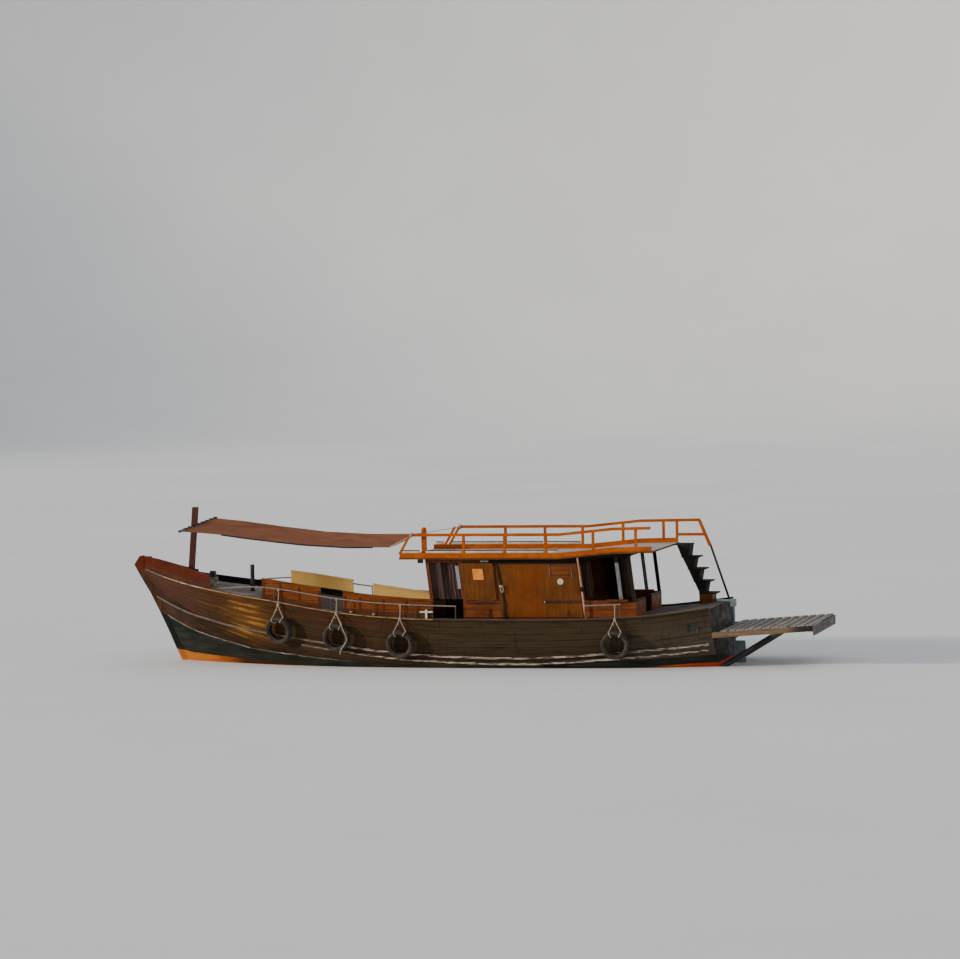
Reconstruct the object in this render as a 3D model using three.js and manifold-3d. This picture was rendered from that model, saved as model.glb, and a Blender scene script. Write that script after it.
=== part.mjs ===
// A wooden decked motor boat with a deckhouse, a roof rack and a stern platform.
// Millimetres, x forward, y to port, z up. The origin lies amidships on the centreline at the waterline.

import * as THREE from 'three';
import { mergeVertices } from 'three/addons/utils/BufferGeometryUtils.js';
import Module from 'manifold-3d';

const wasm = await Module();
wasm.setup();

// Driving dimensions

const gap = 0.3; // between pieces that touch
const pinGap = 0.5; // at hinges and bearings
const sides = [['port', 1], ['starboard', -1]];

const siding = 100; // width of keel and stem
const keelDepth = 210;
const stemDepth = 125;
const keelBottom = -950;
const transomRake = 0.1; // aft per unit downwards

// Hull lines. Columns: x, rabbet z, bilge y and z, flare y and z, sheer y and z
const hullLines = [
  [-6150, -225, 900, -235, 1280, 250, 1370, 1200],
  [-5500, -380, 1080, -380, 1370, 160, 1450, 1115],
  [-4800, -520, 1200, -500, 1430, 80, 1510, 1035],
  [-3500, -700, 1400, -640, 1520, -60, 1590, 980],
  [-1800, -740, 1500, -680, 1570, -120, 1630, 970],
  [0, -740, 1470, -680, 1560, -100, 1620, 1000],
  [1500, -740, 1330, -680, 1440, -60, 1545, 1110],
  [3000, -720, 950, -640, 1140, 150, 1360, 1340],
  [4200, -640, 480, -560, 700, 350, 1080, 1505],
  [4900, -420, 260, -300, 470, 550, 830, 1620],
  [5300, 30, 150, 150, 330, 850, 640, 1700],
  [5600, 690, 110, 760, 260, 1150, 480, 1765],
  [6000, 1500, 60, 1540, 130, 1650, 240, 1870],
  [6250, 1880, 52, 1890, 56, 1915, 60, 1940],
];
const sectionSteps = 9;

const wellFore = -450; // sunk cabin in the hull
const wellAft = -4560;
const wellSide = 1220;
const soleZ = 340;
const soleThickness = 30;
const engine = { x: -2050, length: 1150, width: 620, bottom: -420, height: 700 };

const coamingTop = 1330;
const wallOuter = 1300; // outer face of the deckhouse sides
const coamingThickness = 40;
const houseFore = -360;
const houseAft = -4650;
const houseLean = 0.115; // posts lean forward, x per unit z
const postWidth = 70;
const postDepth = 55;

// Roof line. Columns: x, underside z
const roofLine = [[260, 2210], [-3100, 2210], [-4200, 2320], [-5020, 2335]];
const roofThickness = 35;
const roofHalf = 1410;

// Fenders. Columns: x, centre z
const fenders = [[2850, 755], [1560, 625], [190, 500], [-4270, 495]];
const tyre = { outer: 290, inner: 195, width: 165 };

// Materials

const paints = {
  hull: [0x5a3a26, 0.7, 0],
  stem: [0x6b3a26, 0.6, 0],
  redBrown: [0x7d4228, 0.5, 0],
  strake: [0xc2b8a8, 0.75, 0],
  varnish: [0x8a4f28, 0.4, 0],
  orange: [0xc8691e, 0.5, 0],
  canvas: [0x96684c, 0.9, 0],
  black: [0x161a18, 0.5, 0],
  steel: [0x8a9092, 0.45, 0.8],
  bronze: [0x9a7a3c, 0.4, 0.9],
  tyreRubber: [0x3c3836, 0.9, 0],
  cream: [0xd9cdb4, 0.8, 0],
  greyWood: [0x82868a, 0.8, 0],
  white: [0xe2ded2, 0.6, 0],
  darkCloth: [0x2c2a26, 0.95, 0],
};

const boat = new THREE.Group();

function addNode(name, geometry, paint, parent = boat) {
  const [color, roughness, metalness] = paints[paint];
  const material = new THREE.MeshStandardMaterial({ color, roughness, metalness, flatShading: true });
  const mesh = new THREE.Mesh(geometry, material);
  mesh.name = name;
  parent.add(mesh);
  return mesh;
}

// Joining and cutting

function solidOf(geometry) {
  const bare = geometry.clone();
  bare.deleteAttribute('normal');
  bare.deleteAttribute('uv');
  const merged = mergeVertices(bare, 1e-3);
  const mesh = new wasm.Mesh({
    numProp: 3,
    vertProperties: new Float32Array(merged.attributes.position.array),
    triVerts: new Uint32Array(merged.index.array),
  });
  return new wasm.Manifold(mesh);
}

function geometryOf(solid) {
  const mesh = solid.getMesh();
  const geometry = new THREE.BufferGeometry();
  geometry.setAttribute('position', new THREE.BufferAttribute(new Float32Array(mesh.vertProperties), 3));
  geometry.setIndex(new THREE.BufferAttribute(new Uint32Array(mesh.triVerts), 1));
  geometry.computeVertexNormals();
  return geometry;
}

function join(...pieces) {
  return geometryOf(pieces.map(solidOf).reduce((whole, piece) => whole.add(piece)));
}

function cut(piece, ...tools) {
  return geometryOf(tools.map(solidOf).reduce((rest, tool) => rest.subtract(tool), solidOf(piece)));
}

// Basic forms

function box(x0, x1, y0, y1, z0, z1) {
  const geometry = new THREE.BoxGeometry(Math.abs(x1 - x0), Math.abs(y1 - y0), Math.abs(z1 - z0));
  return geometry.translate((x0 + x1) / 2, (y0 + y1) / 2, (z0 + z1) / 2);
}

function rod(from, to, radius, count = 10, endRadius = radius) {
  const a = new THREE.Vector3(...from);
  const b = new THREE.Vector3(...to);
  const geometry = new THREE.CylinderGeometry(endRadius, radius, a.distanceTo(b), count);
  const along = b.clone().sub(a).normalize();
  const turn = new THREE.Quaternion().setFromUnitVectors(new THREE.Vector3(0, 1, 0), along);
  return geometry.applyQuaternion(turn).translate(...a.add(b).divideScalar(2).toArray());
}

function pipe(points, radius, steps, count = 8) {
  const path = new THREE.CatmullRomCurve3(points.map((point) => new THREE.Vector3(...point)));
  const section = new THREE.Shape();
  section.absarc(0, 0, radius, 0, 2 * Math.PI);
  return new THREE.ExtrudeGeometry(section, { steps, curveSegments: count / 2, extrudePath: path });
}

// A closed loft through rings of [x, y, z] points, each ring flat enough to cap in y and z
function loft(rings) {
  const count = rings[0].length;
  const index = [];
  for (let i = 0; i < rings.length - 1; i += 1) {
    for (let j = 0; j < count; j += 1) {
      const a = i * count + j;
      const b = i * count + ((j + 1) % count);
      index.push(a, b, b + count, a, b + count, a + count);
    }
  }
  const capRing = (ring, base, forward) => {
    const outline = ring.map(([, y, z]) => new THREE.Vector2(y, z));
    const turn = THREE.ShapeUtils.area(outline);
    for (const face of THREE.ShapeUtils.triangulateShape(outline, [])) {
      const same = THREE.ShapeUtils.area(face.map((k) => outline[k])) * turn > 0;
      const [a, b, c] = same === forward ? face : [face[0], face[2], face[1]];
      index.push(base + a, base + b, base + c);
    }
  };
  capRing(rings[0], 0, false);
  capRing(rings[rings.length - 1], (rings.length - 1) * count, true);
  const positions = rings.flat();
  let volume = 0;
  for (let i = 0; i < index.length; i += 3) {
    const [a, b, c] = [0, 1, 2].map((k) => new THREE.Vector3(...positions[index[i + k]]));
    volume += a.dot(b.cross(c));
  }
  if (volume < 0) index.reverse();
  const geometry = new THREE.BufferGeometry();
  geometry.setAttribute('position', new THREE.Float32BufferAttribute(positions.flat(), 3));
  geometry.setIndex(index);
  return geometry;
}

// A flat outline of [x, z] points, as thick as y0 to y1
function plate(outline, y0, y1) {
  const shape = new THREE.Shape(outline.map(([x, z]) => new THREE.Vector2(x, z)));
  const geometry = new THREE.ExtrudeGeometry(shape, { depth: y1 - y0, bevelEnabled: false });
  return geometry.rotateX(Math.PI / 2).translate(0, y1, 0);
}

function mirror(geometry, side) {
  if (side > 0) return geometry;
  const flipped = geometry.index ? geometry.toNonIndexed() : geometry.clone();
  flipped.scale(1, -1, 1);
  const position = flipped.attributes.position;
  for (let i = 0; i < position.count; i += 3) {
    const b = new THREE.Vector3().fromBufferAttribute(position, i + 1);
    const c = new THREE.Vector3().fromBufferAttribute(position, i + 2);
    position.setXYZ(i + 1, c.x, c.y, c.z);
    position.setXYZ(i + 2, b.x, b.y, b.z);
  }
  return flipped;
}

// Value of a table column at x, by smooth steps between its rows
function fair(rows, x, column) {
  const last = rows.length - 1;
  const i = Math.min(Math.max(rows.findIndex((row) => row[0] > x) - 1, 0), last - 1);
  const k = x >= rows[last][0] ? last - 1 : i;
  const slope = (n) => {
    const a = Math.max(n - 1, 0);
    const b = Math.min(n + 1, last);
    return (rows[b][column] - rows[a][column]) / (rows[b][0] - rows[a][0]);
  };
  const run = rows[k + 1][0] - rows[k][0];
  const t = (x - rows[k][0]) / run;
  const [p, q, m, n] = [rows[k][column], rows[k + 1][column], slope(k) * run, slope(k + 1) * run];
  return p + t * (m + t * (3 * (q - p) - 2 * m - n + t * (2 * (p - q) + m + n)));
}

// Value at x on straight lines between the rows
function straight(rows, x, column = 1) {
  const up = rows[0][0] < rows[rows.length - 1][0];
  const sorted = up ? rows : [...rows].reverse();
  const k = Math.min(Math.max(sorted.findIndex((row) => row[0] >= x) - 1, 0), sorted.length - 2);
  const t = (x - sorted[k][0]) / (sorted[k + 1][0] - sorted[k][0]);
  return sorted[k][column] + t * (sorted[k + 1][column] - sorted[k][column]);
}

// Hull frames: the table's stations and one more between each two

const frameX = hullLines.flatMap(([x], i) => (i ? [(hullLines[i - 1][0] + x) / 2, x] : [x]));
const frames = frameX.map((x) => {
  const [rabbetZ, bilgeY, bilgeZ, flareY, flareZ, sheerY, sheerZ] =
    [1, 2, 3, 4, 5, 6, 7].map((column) => fair(hullLines, x, column));
  const curve = new THREE.CubicBezierCurve(
    new THREE.Vector2(siding / 2, rabbetZ),
    new THREE.Vector2(bilgeY, bilgeZ),
    new THREE.Vector2(flareY, flareZ),
    new THREE.Vector2(sheerY, sheerZ),
  );
  const half = curve.getPoints(sectionSteps).map((point) => [point.x, point.y]);
  const aft = x === frameX[0] ? transomRake : 0;
  return { x, half, sheerY, sheerZ, rabbetZ, aft };
});
const sheerRows = frames.map(({ x, sheerY, sheerZ }) => [x, sheerY, sheerZ]);
const sheerY = (x) => straight(sheerRows, x, 1);
const deckZ = (x) => straight(sheerRows, x, 2);
const rabbetRows = frames.map(({ x, rabbetZ, sheerZ: top, aft }) => [x - aft * (top - rabbetZ), rabbetZ]);
const rabbetZ = (x) => straight(rabbetRows, x);

// Half breadth of the hull's side at x and z
function skin(x, z) {
  const rows = frames.map((frame) => {
    const k = Math.min(Math.max(frame.half.findIndex((point) => point[1] >= z) - 1, 0), sectionSteps - 1);
    const [a, b] = [frame.half[k], frame.half[k + 1]];
    return [frame.x, a[0] + ((z - a[1]) / (b[1] - a[1])) * (b[0] - a[0])];
  });
  return straight(rows, x);
}

function hullBody(grow = 0) {
  const rings = frames.map(({ x, half, sheerZ: top, aft }) => {
    const port = half.map(([y, z]) => [x - aft * (top - z), y + grow, z]);
    return [...port, ...port.map(([px, y, z]) => [px, -y, z]).reverse()];
  });
  return loft(rings);
}

// Frame places between x0 and x1, with both ends
function placesBetween(x0, x1) {
  return [x0, ...frameX.filter((x) => x > x0 + 1 && x < x1 - 1), x1];
}

// A strip along the sheer: its section is [y, z] from the deck edge, narrowed at the stem
function sheerStrip(x0, x1, section) {
  const widest = Math.max(...section(x0).map(([y]) => -y));
  return loft(placesBetween(x0, x1).map((x) => {
    const squeeze = Math.min(1, (sheerY(x) - 6) / widest);
    return section(x).map(([y, z]) => [x, sheerY(x) + (y < 0 ? y * squeeze : y), deckZ(x) + z]);
  }));
}

// Hull, keel and stem

const well = box(wellAft, wellFore, -wellSide, wellSide, soleZ - soleThickness - gap, 2000);
const engineBed = box(
  engine.x - engine.length / 2 - 60, engine.x + engine.length / 2 + 60,
  -engine.width / 2 - 60, engine.width / 2 + 60, engine.bottom - gap, soleZ,
);
const hullSkin = hullBody();
const hullGrown = hullBody(gap + 0.1);
addNode('hull', cut(hullSkin, well, engineBed), 'hull');
addNode('cabin_sole', box(wellAft + gap, wellFore - gap, -wellSide + gap, wellSide - gap,
  soleZ - soleThickness, soleZ), 'varnish');
addNode('engine', box(engine.x - engine.length / 2, engine.x + engine.length / 2,
  -engine.width / 2, engine.width / 2, engine.bottom, engine.bottom + engine.height), 'steel');

const stemFoot = 4200;
const aperture = { fore: -5620, aft: -6180, bottom: -880 };
const shoeEnd = -6480;
const rabbetInner = rabbetRows.filter(([x]) => x <= stemFoot).reverse();
const keelOutline = [
  ...rabbetInner.filter(([x]) => x > aperture.fore).map(([x, z]) => [x, z - gap]),
  [aperture.fore, rabbetZ(aperture.fore) - gap],
  [aperture.fore, aperture.bottom],
  [aperture.aft, aperture.bottom],
  [aperture.aft, rabbetZ(aperture.aft) - gap],
  [-6280, rabbetZ(-6280) - gap],
  [-6300, aperture.bottom],
  [shoeEnd, aperture.bottom],
  [shoeEnd, keelBottom],
  [stemFoot - 800, keelBottom],
  [stemFoot, rabbetZ(stemFoot) - keelDepth],
];
addNode('keel', plate(keelOutline, -siding / 2, siding / 2), 'hull');

const stemHead = { inner: [6250 + gap, 2215], top: [6330, 2200], chamfer: [6452, 2020] };
const stemInner = rabbetRows.filter(([x]) => x >= stemFoot);
const stemOuter = stemInner.map(([x, z], i) => {
  const before = stemInner[Math.max(i - 1, 0)];
  const after = stemInner[Math.min(i + 1, stemInner.length - 1)];
  const along = new THREE.Vector2(after[0] - before[0], after[1] - before[1]).normalize();
  const depth = keelDepth + (stemDepth - keelDepth) * Math.min(1, i / 4);
  return i ? [x + along.y * depth, z - along.x * depth] : [x + gap, z - keelDepth];
});
const stemOutline = [
  [stemFoot + gap, stemInner[0][1] - gap],
  ...stemOuter.slice(0, -1),
  stemHead.chamfer,
  stemHead.top,
  stemHead.inner,
  [6250 + gap, 1880],
  ...stemInner.slice(1, -1).reverse().map(([x, z]) => [x + gap, z - gap]),
];
addNode('stem_post', cut(plate(stemOutline, -siding / 2, siding / 2), hullGrown), 'stem');

// Planking on the sheer: gunwale, bow bulwark and side panels

const cap = { out: 38, in: -92, thick: 35 };
const toe = { out: -12, in: -62, top: 130 };
const board = { out: -20, in: -50, capOut: -4, capIn: -68, capThick: 32 };
// Bow bulwark, low on the starboard side. Columns: x, top above the sheer
const bowTops = {
  port: [[4480, 310], [4900, 345], [5380, 365], [5750, 345], [6245, 270]],
  starboard: [[5250, 175], [5750, 220], [6245, 262]],
};
// Side panels. Columns: side, name, aft x, fore x, top above the sheer aft and fore
const sidePanels = [
  ['port', 'fore', 1925, 3240, 475, 450],
  ['port', 'mid', -500, 1430, 425, 470],
  ['starboard', 'fore', 2065, 3380, 395, 410],
  ['starboard', 'mid', -500, 1640, 245, 370],
];
// The toe rail's runs under the panels and bulwarks. Columns: aft x, fore x
const toeRuns = {
  port: [[-500, 1430], [1925, 3260], [4460, 6190]],
  starboard: [[-500, 1640], [2065, 6190]],
};
const joinDepth = 3; // how far joined members reach into each other

function boardSection(top) {
  return [
    [board.out, toe.top + gap], [board.out, top - board.capThick], [board.capOut, top - board.capThick],
    [board.capOut, top], [board.capIn, top], [board.capIn, top - board.capThick],
    [board.in, top - board.capThick], [board.in, toe.top + gap],
  ];
}

function gunwaleOf(side) {
  const capStrip = sheerStrip(-6150, 6190, () => [
    [cap.out, gap], [cap.out, cap.thick], [cap.in, cap.thick], [cap.in, gap],
  ]);
  const toes = toeRuns[side].map(([aft, fore]) => sheerStrip(aft, fore, () => [
    [toe.out, cap.thick - joinDepth], [toe.out, toe.top], [toe.in, toe.top], [toe.in, cap.thick - joinDepth],
  ]));
  return join(capStrip, ...toes);
}
const gunwale = gunwaleOf('port');
for (const [side, sign] of sides) {
  addNode(`gunwale_${side}`, mirror(gunwaleOf(side), sign), 'redBrown');
  const tops = bowTops[side];
  const bulwark = sheerStrip(tops[0][0], 6190, (x) => boardSection(straight(tops, x)));
  addNode(`bow_bulwark_${side}`, mirror(bulwark, sign), 'redBrown');
  for (const [, name, aft, fore, aftTop, foreTop] of sidePanels.filter((row) => row[0] === side)) {
    const panel = sheerStrip(aft, fore, (x) => boardSection(
      aftTop + ((x - aft) / (fore - aft)) * (foreTop - aftTop),
    ));
    addNode(`side_panel_${name}_${side}`, mirror(panel, sign), 'redBrown');
  }
}

// Rubbing strakes on the hull's side. Columns: x, z
const upperStrake = [[-6120, 480], [-5790, 440], [-3930, 290], [-2330, 205], [-50, 275], [1360, 425],
  [2420, 570], [3260, 690], [4130, 820], [4480, 900], [5050, 1030], [5470, 1170], [5960, 1350]];
const lowerDrop = 118;
const strakeSize = { height: 48, depth: 38 };

function strake(x0, x1, zAt, { height, depth }) {
  const rings = placesBetween(x0, x1).map((x) => {
    const [low, high] = [zAt(x) - height / 2, zAt(x) + height / 2];
    const inner = Math.min(skin(x, low), skin(x, high)) - 8;
    const outer = skin(x, zAt(x)) + depth;
    return [[x, inner, low], [x, outer, low + 6], [x, outer, high - 6], [x, inner, high]];
  });
  return loft(rings);
}

const stemBand = box(4000, 6600, -siding / 2 - gap, siding / 2 + gap, keelBottom, stemHead.top[1]);
for (const [side, sign] of sides) {
  const upper = strake(-6120, 5960, (x) => fair(upperStrake, x, 1), strakeSize);
  addNode(`rub_strake_upper_${side}`, cut(mirror(upper, sign), hullGrown, stemBand), 'strake');
  const lower = strake(-6100, 2400, (x) => fair(upperStrake, x, 1) - lowerDrop, strakeSize);
  addNode(`rub_strake_lower_${side}`, cut(mirror(lower, sign), hullGrown), 'strake');
}

// Handrails on short stanchions along the gunwale cap

const rail = { out: 22, radius: 14 };
// Height of the rail above the sheer: at the bow it comes down to the cap. Columns: x, height
const railUp = [[-6000, 300], [2800, 300], [3300, 258], [3720, 205], [4330, 48]];
// Columns: name, aft x, fore x, stanchion places
const handrails = [
  ['fore', -990, 4330, [-980, -130, 760, 1250, 1680, 2950]],
  ['aft', -4380, -3650, [-4370, -3660]],
];

const gunwaleCutter = gunwale.clone().translate(0, 0, gap);
const railPoint = (x) => [x, sheerY(x) + rail.out, deckZ(x) + straight(railUp, x)];
function railPipe(aft, fore, radius) {
  const count = Math.max(3, Math.round((fore - aft) / 450));
  const route = Array.from({ length: count + 1 }, (_, i) => railPoint(aft + ((fore - aft) * i) / count));
  return pipe(route, radius, count * 2);
}
for (const [name, aft, fore, posts] of handrails) {
  const legs = posts.map((x) => rod(
    [x, sheerY(x) + rail.out, deckZ(x) + cap.thick - 8], railPoint(x), rail.radius * 0.8, 8,
  ));
  const whole = cut(join(railPipe(aft, fore, rail.radius), ...legs), gunwaleCutter);
  for (const [side, sign] of sides) {
    addNode(`handrail_${name}_${side}`, mirror(whole, sign), 'cream');
  }
}

// Tyre fenders, each on its lanyard from the handrail

function tyreSolid() {
  const { outer, inner, width } = tyre;
  const [w, r] = [width / 2, (outer + inner) / 2];
  const half = [[outer, 0.4 * w], [outer - 25, 0.8 * w], [r, w], [inner + 20, 0.8 * w], [inner, 0.45 * w]];
  const profile = [...half.map(([radius, y]) => [radius, -y]).reverse(), ...half];
  const points = [...profile, profile[0]].map(([radius, y]) => new THREE.Vector2(radius, y));
  return new THREE.LatheGeometry(points, 26);
}

const ropeRadius = 11;
const tyreClear = 6;

// Outermost y of the side at x and z, with the upper strake and the gunwale cap
function sideFace(x, z) {
  const onStrake = Math.abs(z - fair(upperStrake, x, 1)) < strakeSize.height;
  const onLower = Math.abs(z - fair(upperStrake, x, 1) + lowerDrop) < strakeSize.height;
  const onCap = z > deckZ(x) - 15;
  const bare = skin(x, Math.min(z, deckZ(x)));
  return bare + (onStrake || onLower ? strakeSize.depth : 0) + (onCap ? cap.out + 4 : 0);
}

// Distance that brings a hanging piece just clear of the side
function outboard(geometry) {
  const position = geometry.attributes.position;
  const needs = Array.from({ length: position.count }, (_, i) => (
    sideFace(position.getX(i), position.getZ(i)) - position.getY(i)
  ));
  return Math.max(...needs) + tyreClear;
}

const railGrooves = handrails.map(([, aft, fore]) => railPipe(aft, fore, rail.radius + 2 * gap));
fenders.forEach(([x, z], i) => {
  const reach = tyre.outer;
  const tilt = Math.atan2(skin(x, z + reach) - skin(x, z - reach), 2 * reach);
  const turn = Math.atan2(skin(x + reach, z) - skin(x - reach, z), 2 * reach);
  const ring = tyreSolid().rotateX(-tilt).rotateZ(turn).translate(x, skin(x, z), z);
  const y = skin(x, z) + outboard(ring);
  ring.translate(0, y - skin(x, z), 0);
  const top = [x, y + Math.sin(tilt) * (reach - 60), z + Math.cos(tilt) * (reach - 60)];
  const hang = railPoint(x);
  const knot = [x, Math.max((hang[1] + top[1]) / 2, sheerY(x) + cap.out + 20), (hang[2] + top[2]) / 2];
  const tie = rod(hang, knot, ropeRadius, 8);
  const legs = [-55, 55].map((dx) => rod(knot, [top[0] + dx, top[1], top[2]], ropeRadius, 8));
  const whole = cut(join(ring, tie, ...legs), ...railGrooves, gunwaleCutter);
  for (const [side, sign] of sides) {
    addNode(`fender_${i + 1}_${side}`, mirror(whole, sign), 'tyreRubber');
  }
});

// What stands on the deck is cut to it, and what hangs on the transom is cut to that
const deckCutter = hullSkin.clone().translate(0, 0, gap);
const transomCutter = hullSkin.clone().translate(-2 * gap, 0, 0);

// x moves with height above a base: posts that lean
function lean(geometry, slope, baseZ) {
  const shear = new THREE.Matrix4().set(1, 0, slope, -slope * baseZ, 0, 1, 0, 0, 0, 0, 1, 0, 0, 0, 0, 1);
  return geometry.applyMatrix4(shear);
}

// Bow post with its spreader and the awning

const mast = { footX: 5212, topX: 5078, topZ: 3230, width: 110 };
const mastFootZ = deckZ(mast.footX - mast.width);
const mastSlope = (mast.topX - mast.footX) / (mast.topZ - mastFootZ);
const mastX = (z) => mast.footX + mastSlope * (z - mastFootZ);
const mastBox = box(mast.footX - mast.width / 2, mast.footX + mast.width / 2,
  -mast.width / 2, mast.width / 2, mastFootZ - 60, mast.topZ);
addNode('bow_post', cut(lean(mastBox.clone(), mastSlope, mastFootZ), deckCutter), 'redBrown');

const spreader = { portY: 1220, portZ: 2790, starboardY: -1270, starboardZ: 2930, radius: 24 };
const spreaderZ = (y) => straight(
  [[spreader.starboardY, spreader.starboardZ], [spreader.portY, spreader.portZ]], y,
);
const spreaderX = mastX(spreaderZ(0)) - mast.width / 2 - spreader.radius + 3;
const spreaderRod = rod([spreaderX, spreader.portY, spreader.portZ],
  [spreaderX, spreader.starboardY, spreader.starboardZ], spreader.radius);
const mastCutter = lean(mastBox.clone(), mastSlope, mastFootZ).translate(-gap, 0, 0);
addNode('awning_spreader', cut(spreaderRod, mastCutter), 'black');

// Awning edges. Columns: x, y and z of the port edge, y and z of the starboard edge
const awningLines = [
  [540, 1080, 2440, -880, 2590],
  [1500, 1090, 2440, -900, 2590],
  [2460, 1100, 2500, -920, 2640],
  [3500, 1110, 2620, -960, 2760],
  [4300, 1130, 2730, -1040, 2860],
  [spreaderX - spreader.radius + 1, 1180, 2786, -1200, 2920],
];
const awningThickness = 8;
const awningSag = 40;
const awning = loft(awningLines.map(([x, portY, portZ, starY, starZ], i) => {
  const sag = i === awningLines.length - 1 ? 0 : awningSag;
  const across = [0, 0.25, 0.5, 0.75, 1].map((t) => [
    x, portY + t * (starY - portY), portZ + t * (starZ - portZ) - sag * 4 * t * (1 - t),
  ]);
  return [...across, ...across.map(([px, y, z]) => [px, y, z + awningThickness]).reverse()];
}));
addNode('awning', awning, 'canvas');

// Bitt, post and cleats

const bitt = { x: 4720, width: 110, top: 1880, pinZ: 1790, pinLength: 330, pinRadius: 17 };
const bittPost = box(bitt.x - bitt.width / 2, bitt.x + bitt.width / 2, -bitt.width / 2, bitt.width / 2,
  deckZ(bitt.x) - 60, bitt.top);
const bittPin = rod([bitt.x, -bitt.pinLength / 2, bitt.pinZ], [bitt.x, bitt.pinLength / 2, bitt.pinZ],
  bitt.pinRadius, 8);
addNode('bow_bitt', cut(join(bittPost, bittPin), deckCutter), 'stem');

const pillar = { x: 3850, radius: 44, top: 2015 };
const pillarBody = rod([pillar.x, 0, deckZ(pillar.x) - 40], [pillar.x, 0, pillar.top], pillar.radius, 14);
addNode('deck_pillar', cut(pillarBody, deckCutter), 'black');

const cleat = { x: -360, y: 13, top: 215, post: 40, armZ: 168, armLength: 270, armThick: 34 };
for (const [side, sign] of sides) {
  const y = sheerY(cleat.x) + cleat.y;
  const base = deckZ(cleat.x);
  const post = box(cleat.x - cleat.post / 2, cleat.x + cleat.post / 2, y - cleat.post / 2, y + cleat.post / 2,
    base + cap.thick + 2 * gap, base + cleat.top);
  const arm = box(cleat.x - cleat.armLength / 2, cleat.x + cleat.armLength / 2,
    y - cleat.armThick / 2, y + cleat.armThick / 2,
    base + cleat.armZ - cleat.armThick / 2, base + cleat.armZ + cleat.armThick / 2);
  addNode(`gunwale_cleat_${side}`, mirror(join(post, arm), sign), 'white');
}

// Deckhouse: coaming, frame, panels, shutters, curtains and front

const inner = wallOuter - coamingThickness;
const coamingBoards = [
  box(houseAft, houseFore, inner, wallOuter, 900, coamingTop),
  box(houseAft, houseFore, -wallOuter, -inner, 900, coamingTop),
  box(houseFore - coamingThickness, houseFore, -inner - 1, inner + 1, 900, coamingTop),
  box(houseAft, houseAft + coamingThickness, -inner - 1, inner + 1, 900, coamingTop),
];
const aftDoorway = box(houseAft - 10, houseAft + 80, -300, 300, 900, coamingTop + 60);
// The side doorways in the fore bay go through the coaming and the sill, over a low step
const doorway = { fore: -680, aft: -1050, step: 60 };
const sideDoorways = [[inner - 60, wallOuter + 60], [-wallOuter - 60, 60 - inner]].map(([y0, y1]) => box(
  doorway.aft, doorway.fore, y0, y1, deckZ(doorway.aft) + doorway.step, coamingTop + 60,
));
addNode('house_coaming', cut(join(...coamingBoards), aftDoorway, ...sideDoorways, deckCutter), 'redBrown');

const sillThick = 35;
const headerHeight = 70;
const sillTop = coamingTop + gap + sillThick;
const roofUnder = (x) => straight(roofLine, x);
const postPlaces = [-395, -640, -1090, -1800, -3560, -4350, -4612];
const shutter = { fore: -1112, aft: -1780, inner: wallOuter + 5.3, thick: 28, bottom: 1373, top: 2128 };
const hinge = { x: -1797, y: wallOuter + 23, radius: 9, places: [1500, 1960], length: 52 };

function postBox(x, y0, y1, z0, z1, width = postWidth) {
  return lean(box(x - width / 2, x + width / 2, y0, y1, z0, z1), houseLean, coamingTop);
}
const bury = 3; // how far a member's faces lie inside the one it meets
const headerTop = (x) => roofUnder(x) - gap;
const leanAtHeader = houseLean * (2150 - coamingTop);
const headerEnds = [houseAft + leanAtHeader, houseFore + leanAtHeader];
const headerPlaces = [headerEnds[0], -4200, -3100, headerEnds[1]];
const header = loft(headerPlaces.map((x) => [
  [x, wallOuter - postDepth, headerTop(x) - headerHeight], [x, wallOuter, headerTop(x) - headerHeight],
  [x, wallOuter, headerTop(x)], [x, wallOuter - postDepth, headerTop(x)],
]));
const sill = box(houseAft, houseFore, wallOuter - postDepth, wallOuter, coamingTop + gap, sillTop);
const framePosts = postPlaces.map((x) => postBox(
  x, wallOuter - postDepth + bury, wallOuter - bury, coamingTop + gap + 12, headerTop(x + leanAtHeader) - 20,
));
// A hinge barrel square to the leaning axis, so that it turns on its neighbour without lifting
const onAxis = (z) => [hinge.x + houseLean * (z - coamingTop), hinge.y, z];
const barrel = (z) => rod(onAxis(z), onAxis(z + hinge.length), hinge.radius, 12);
const knuckles = hinge.places.map((z) => join(
  lean(box(hinge.x - 7, hinge.x + 7, wallOuter - 12, hinge.y, z + bury, z + hinge.length - bury),
    houseLean, coamingTop),
  barrel(z),
));
const frameSide = join(header, sill, ...framePosts, ...knuckles);
const crossPlaces = [houseFore + leanAtHeader - 60, -1000, -1706, -2600, -3466, houseAft + leanAtHeader + 60];
const crossBeams = crossPlaces.map((x) => box(x - 30, x + 30, -wallOuter + 10, wallOuter - 10,
  headerTop(x) - headerHeight + bury, headerTop(x) - 2 * bury));
const sillEnds = [houseFore - 30, houseAft + 30].map((x) => box(
  x - 30 + bury, x + 30 - bury, -wallOuter + 20, wallOuter - 20, coamingTop + gap + bury, sillTop - bury,
));
addNode('house_frame', cut(
  join(frameSide, mirror(frameSide, -1), ...crossBeams, ...sillEnds), aftDoorway, ...sideDoorways,
), 'redBrown');

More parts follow.
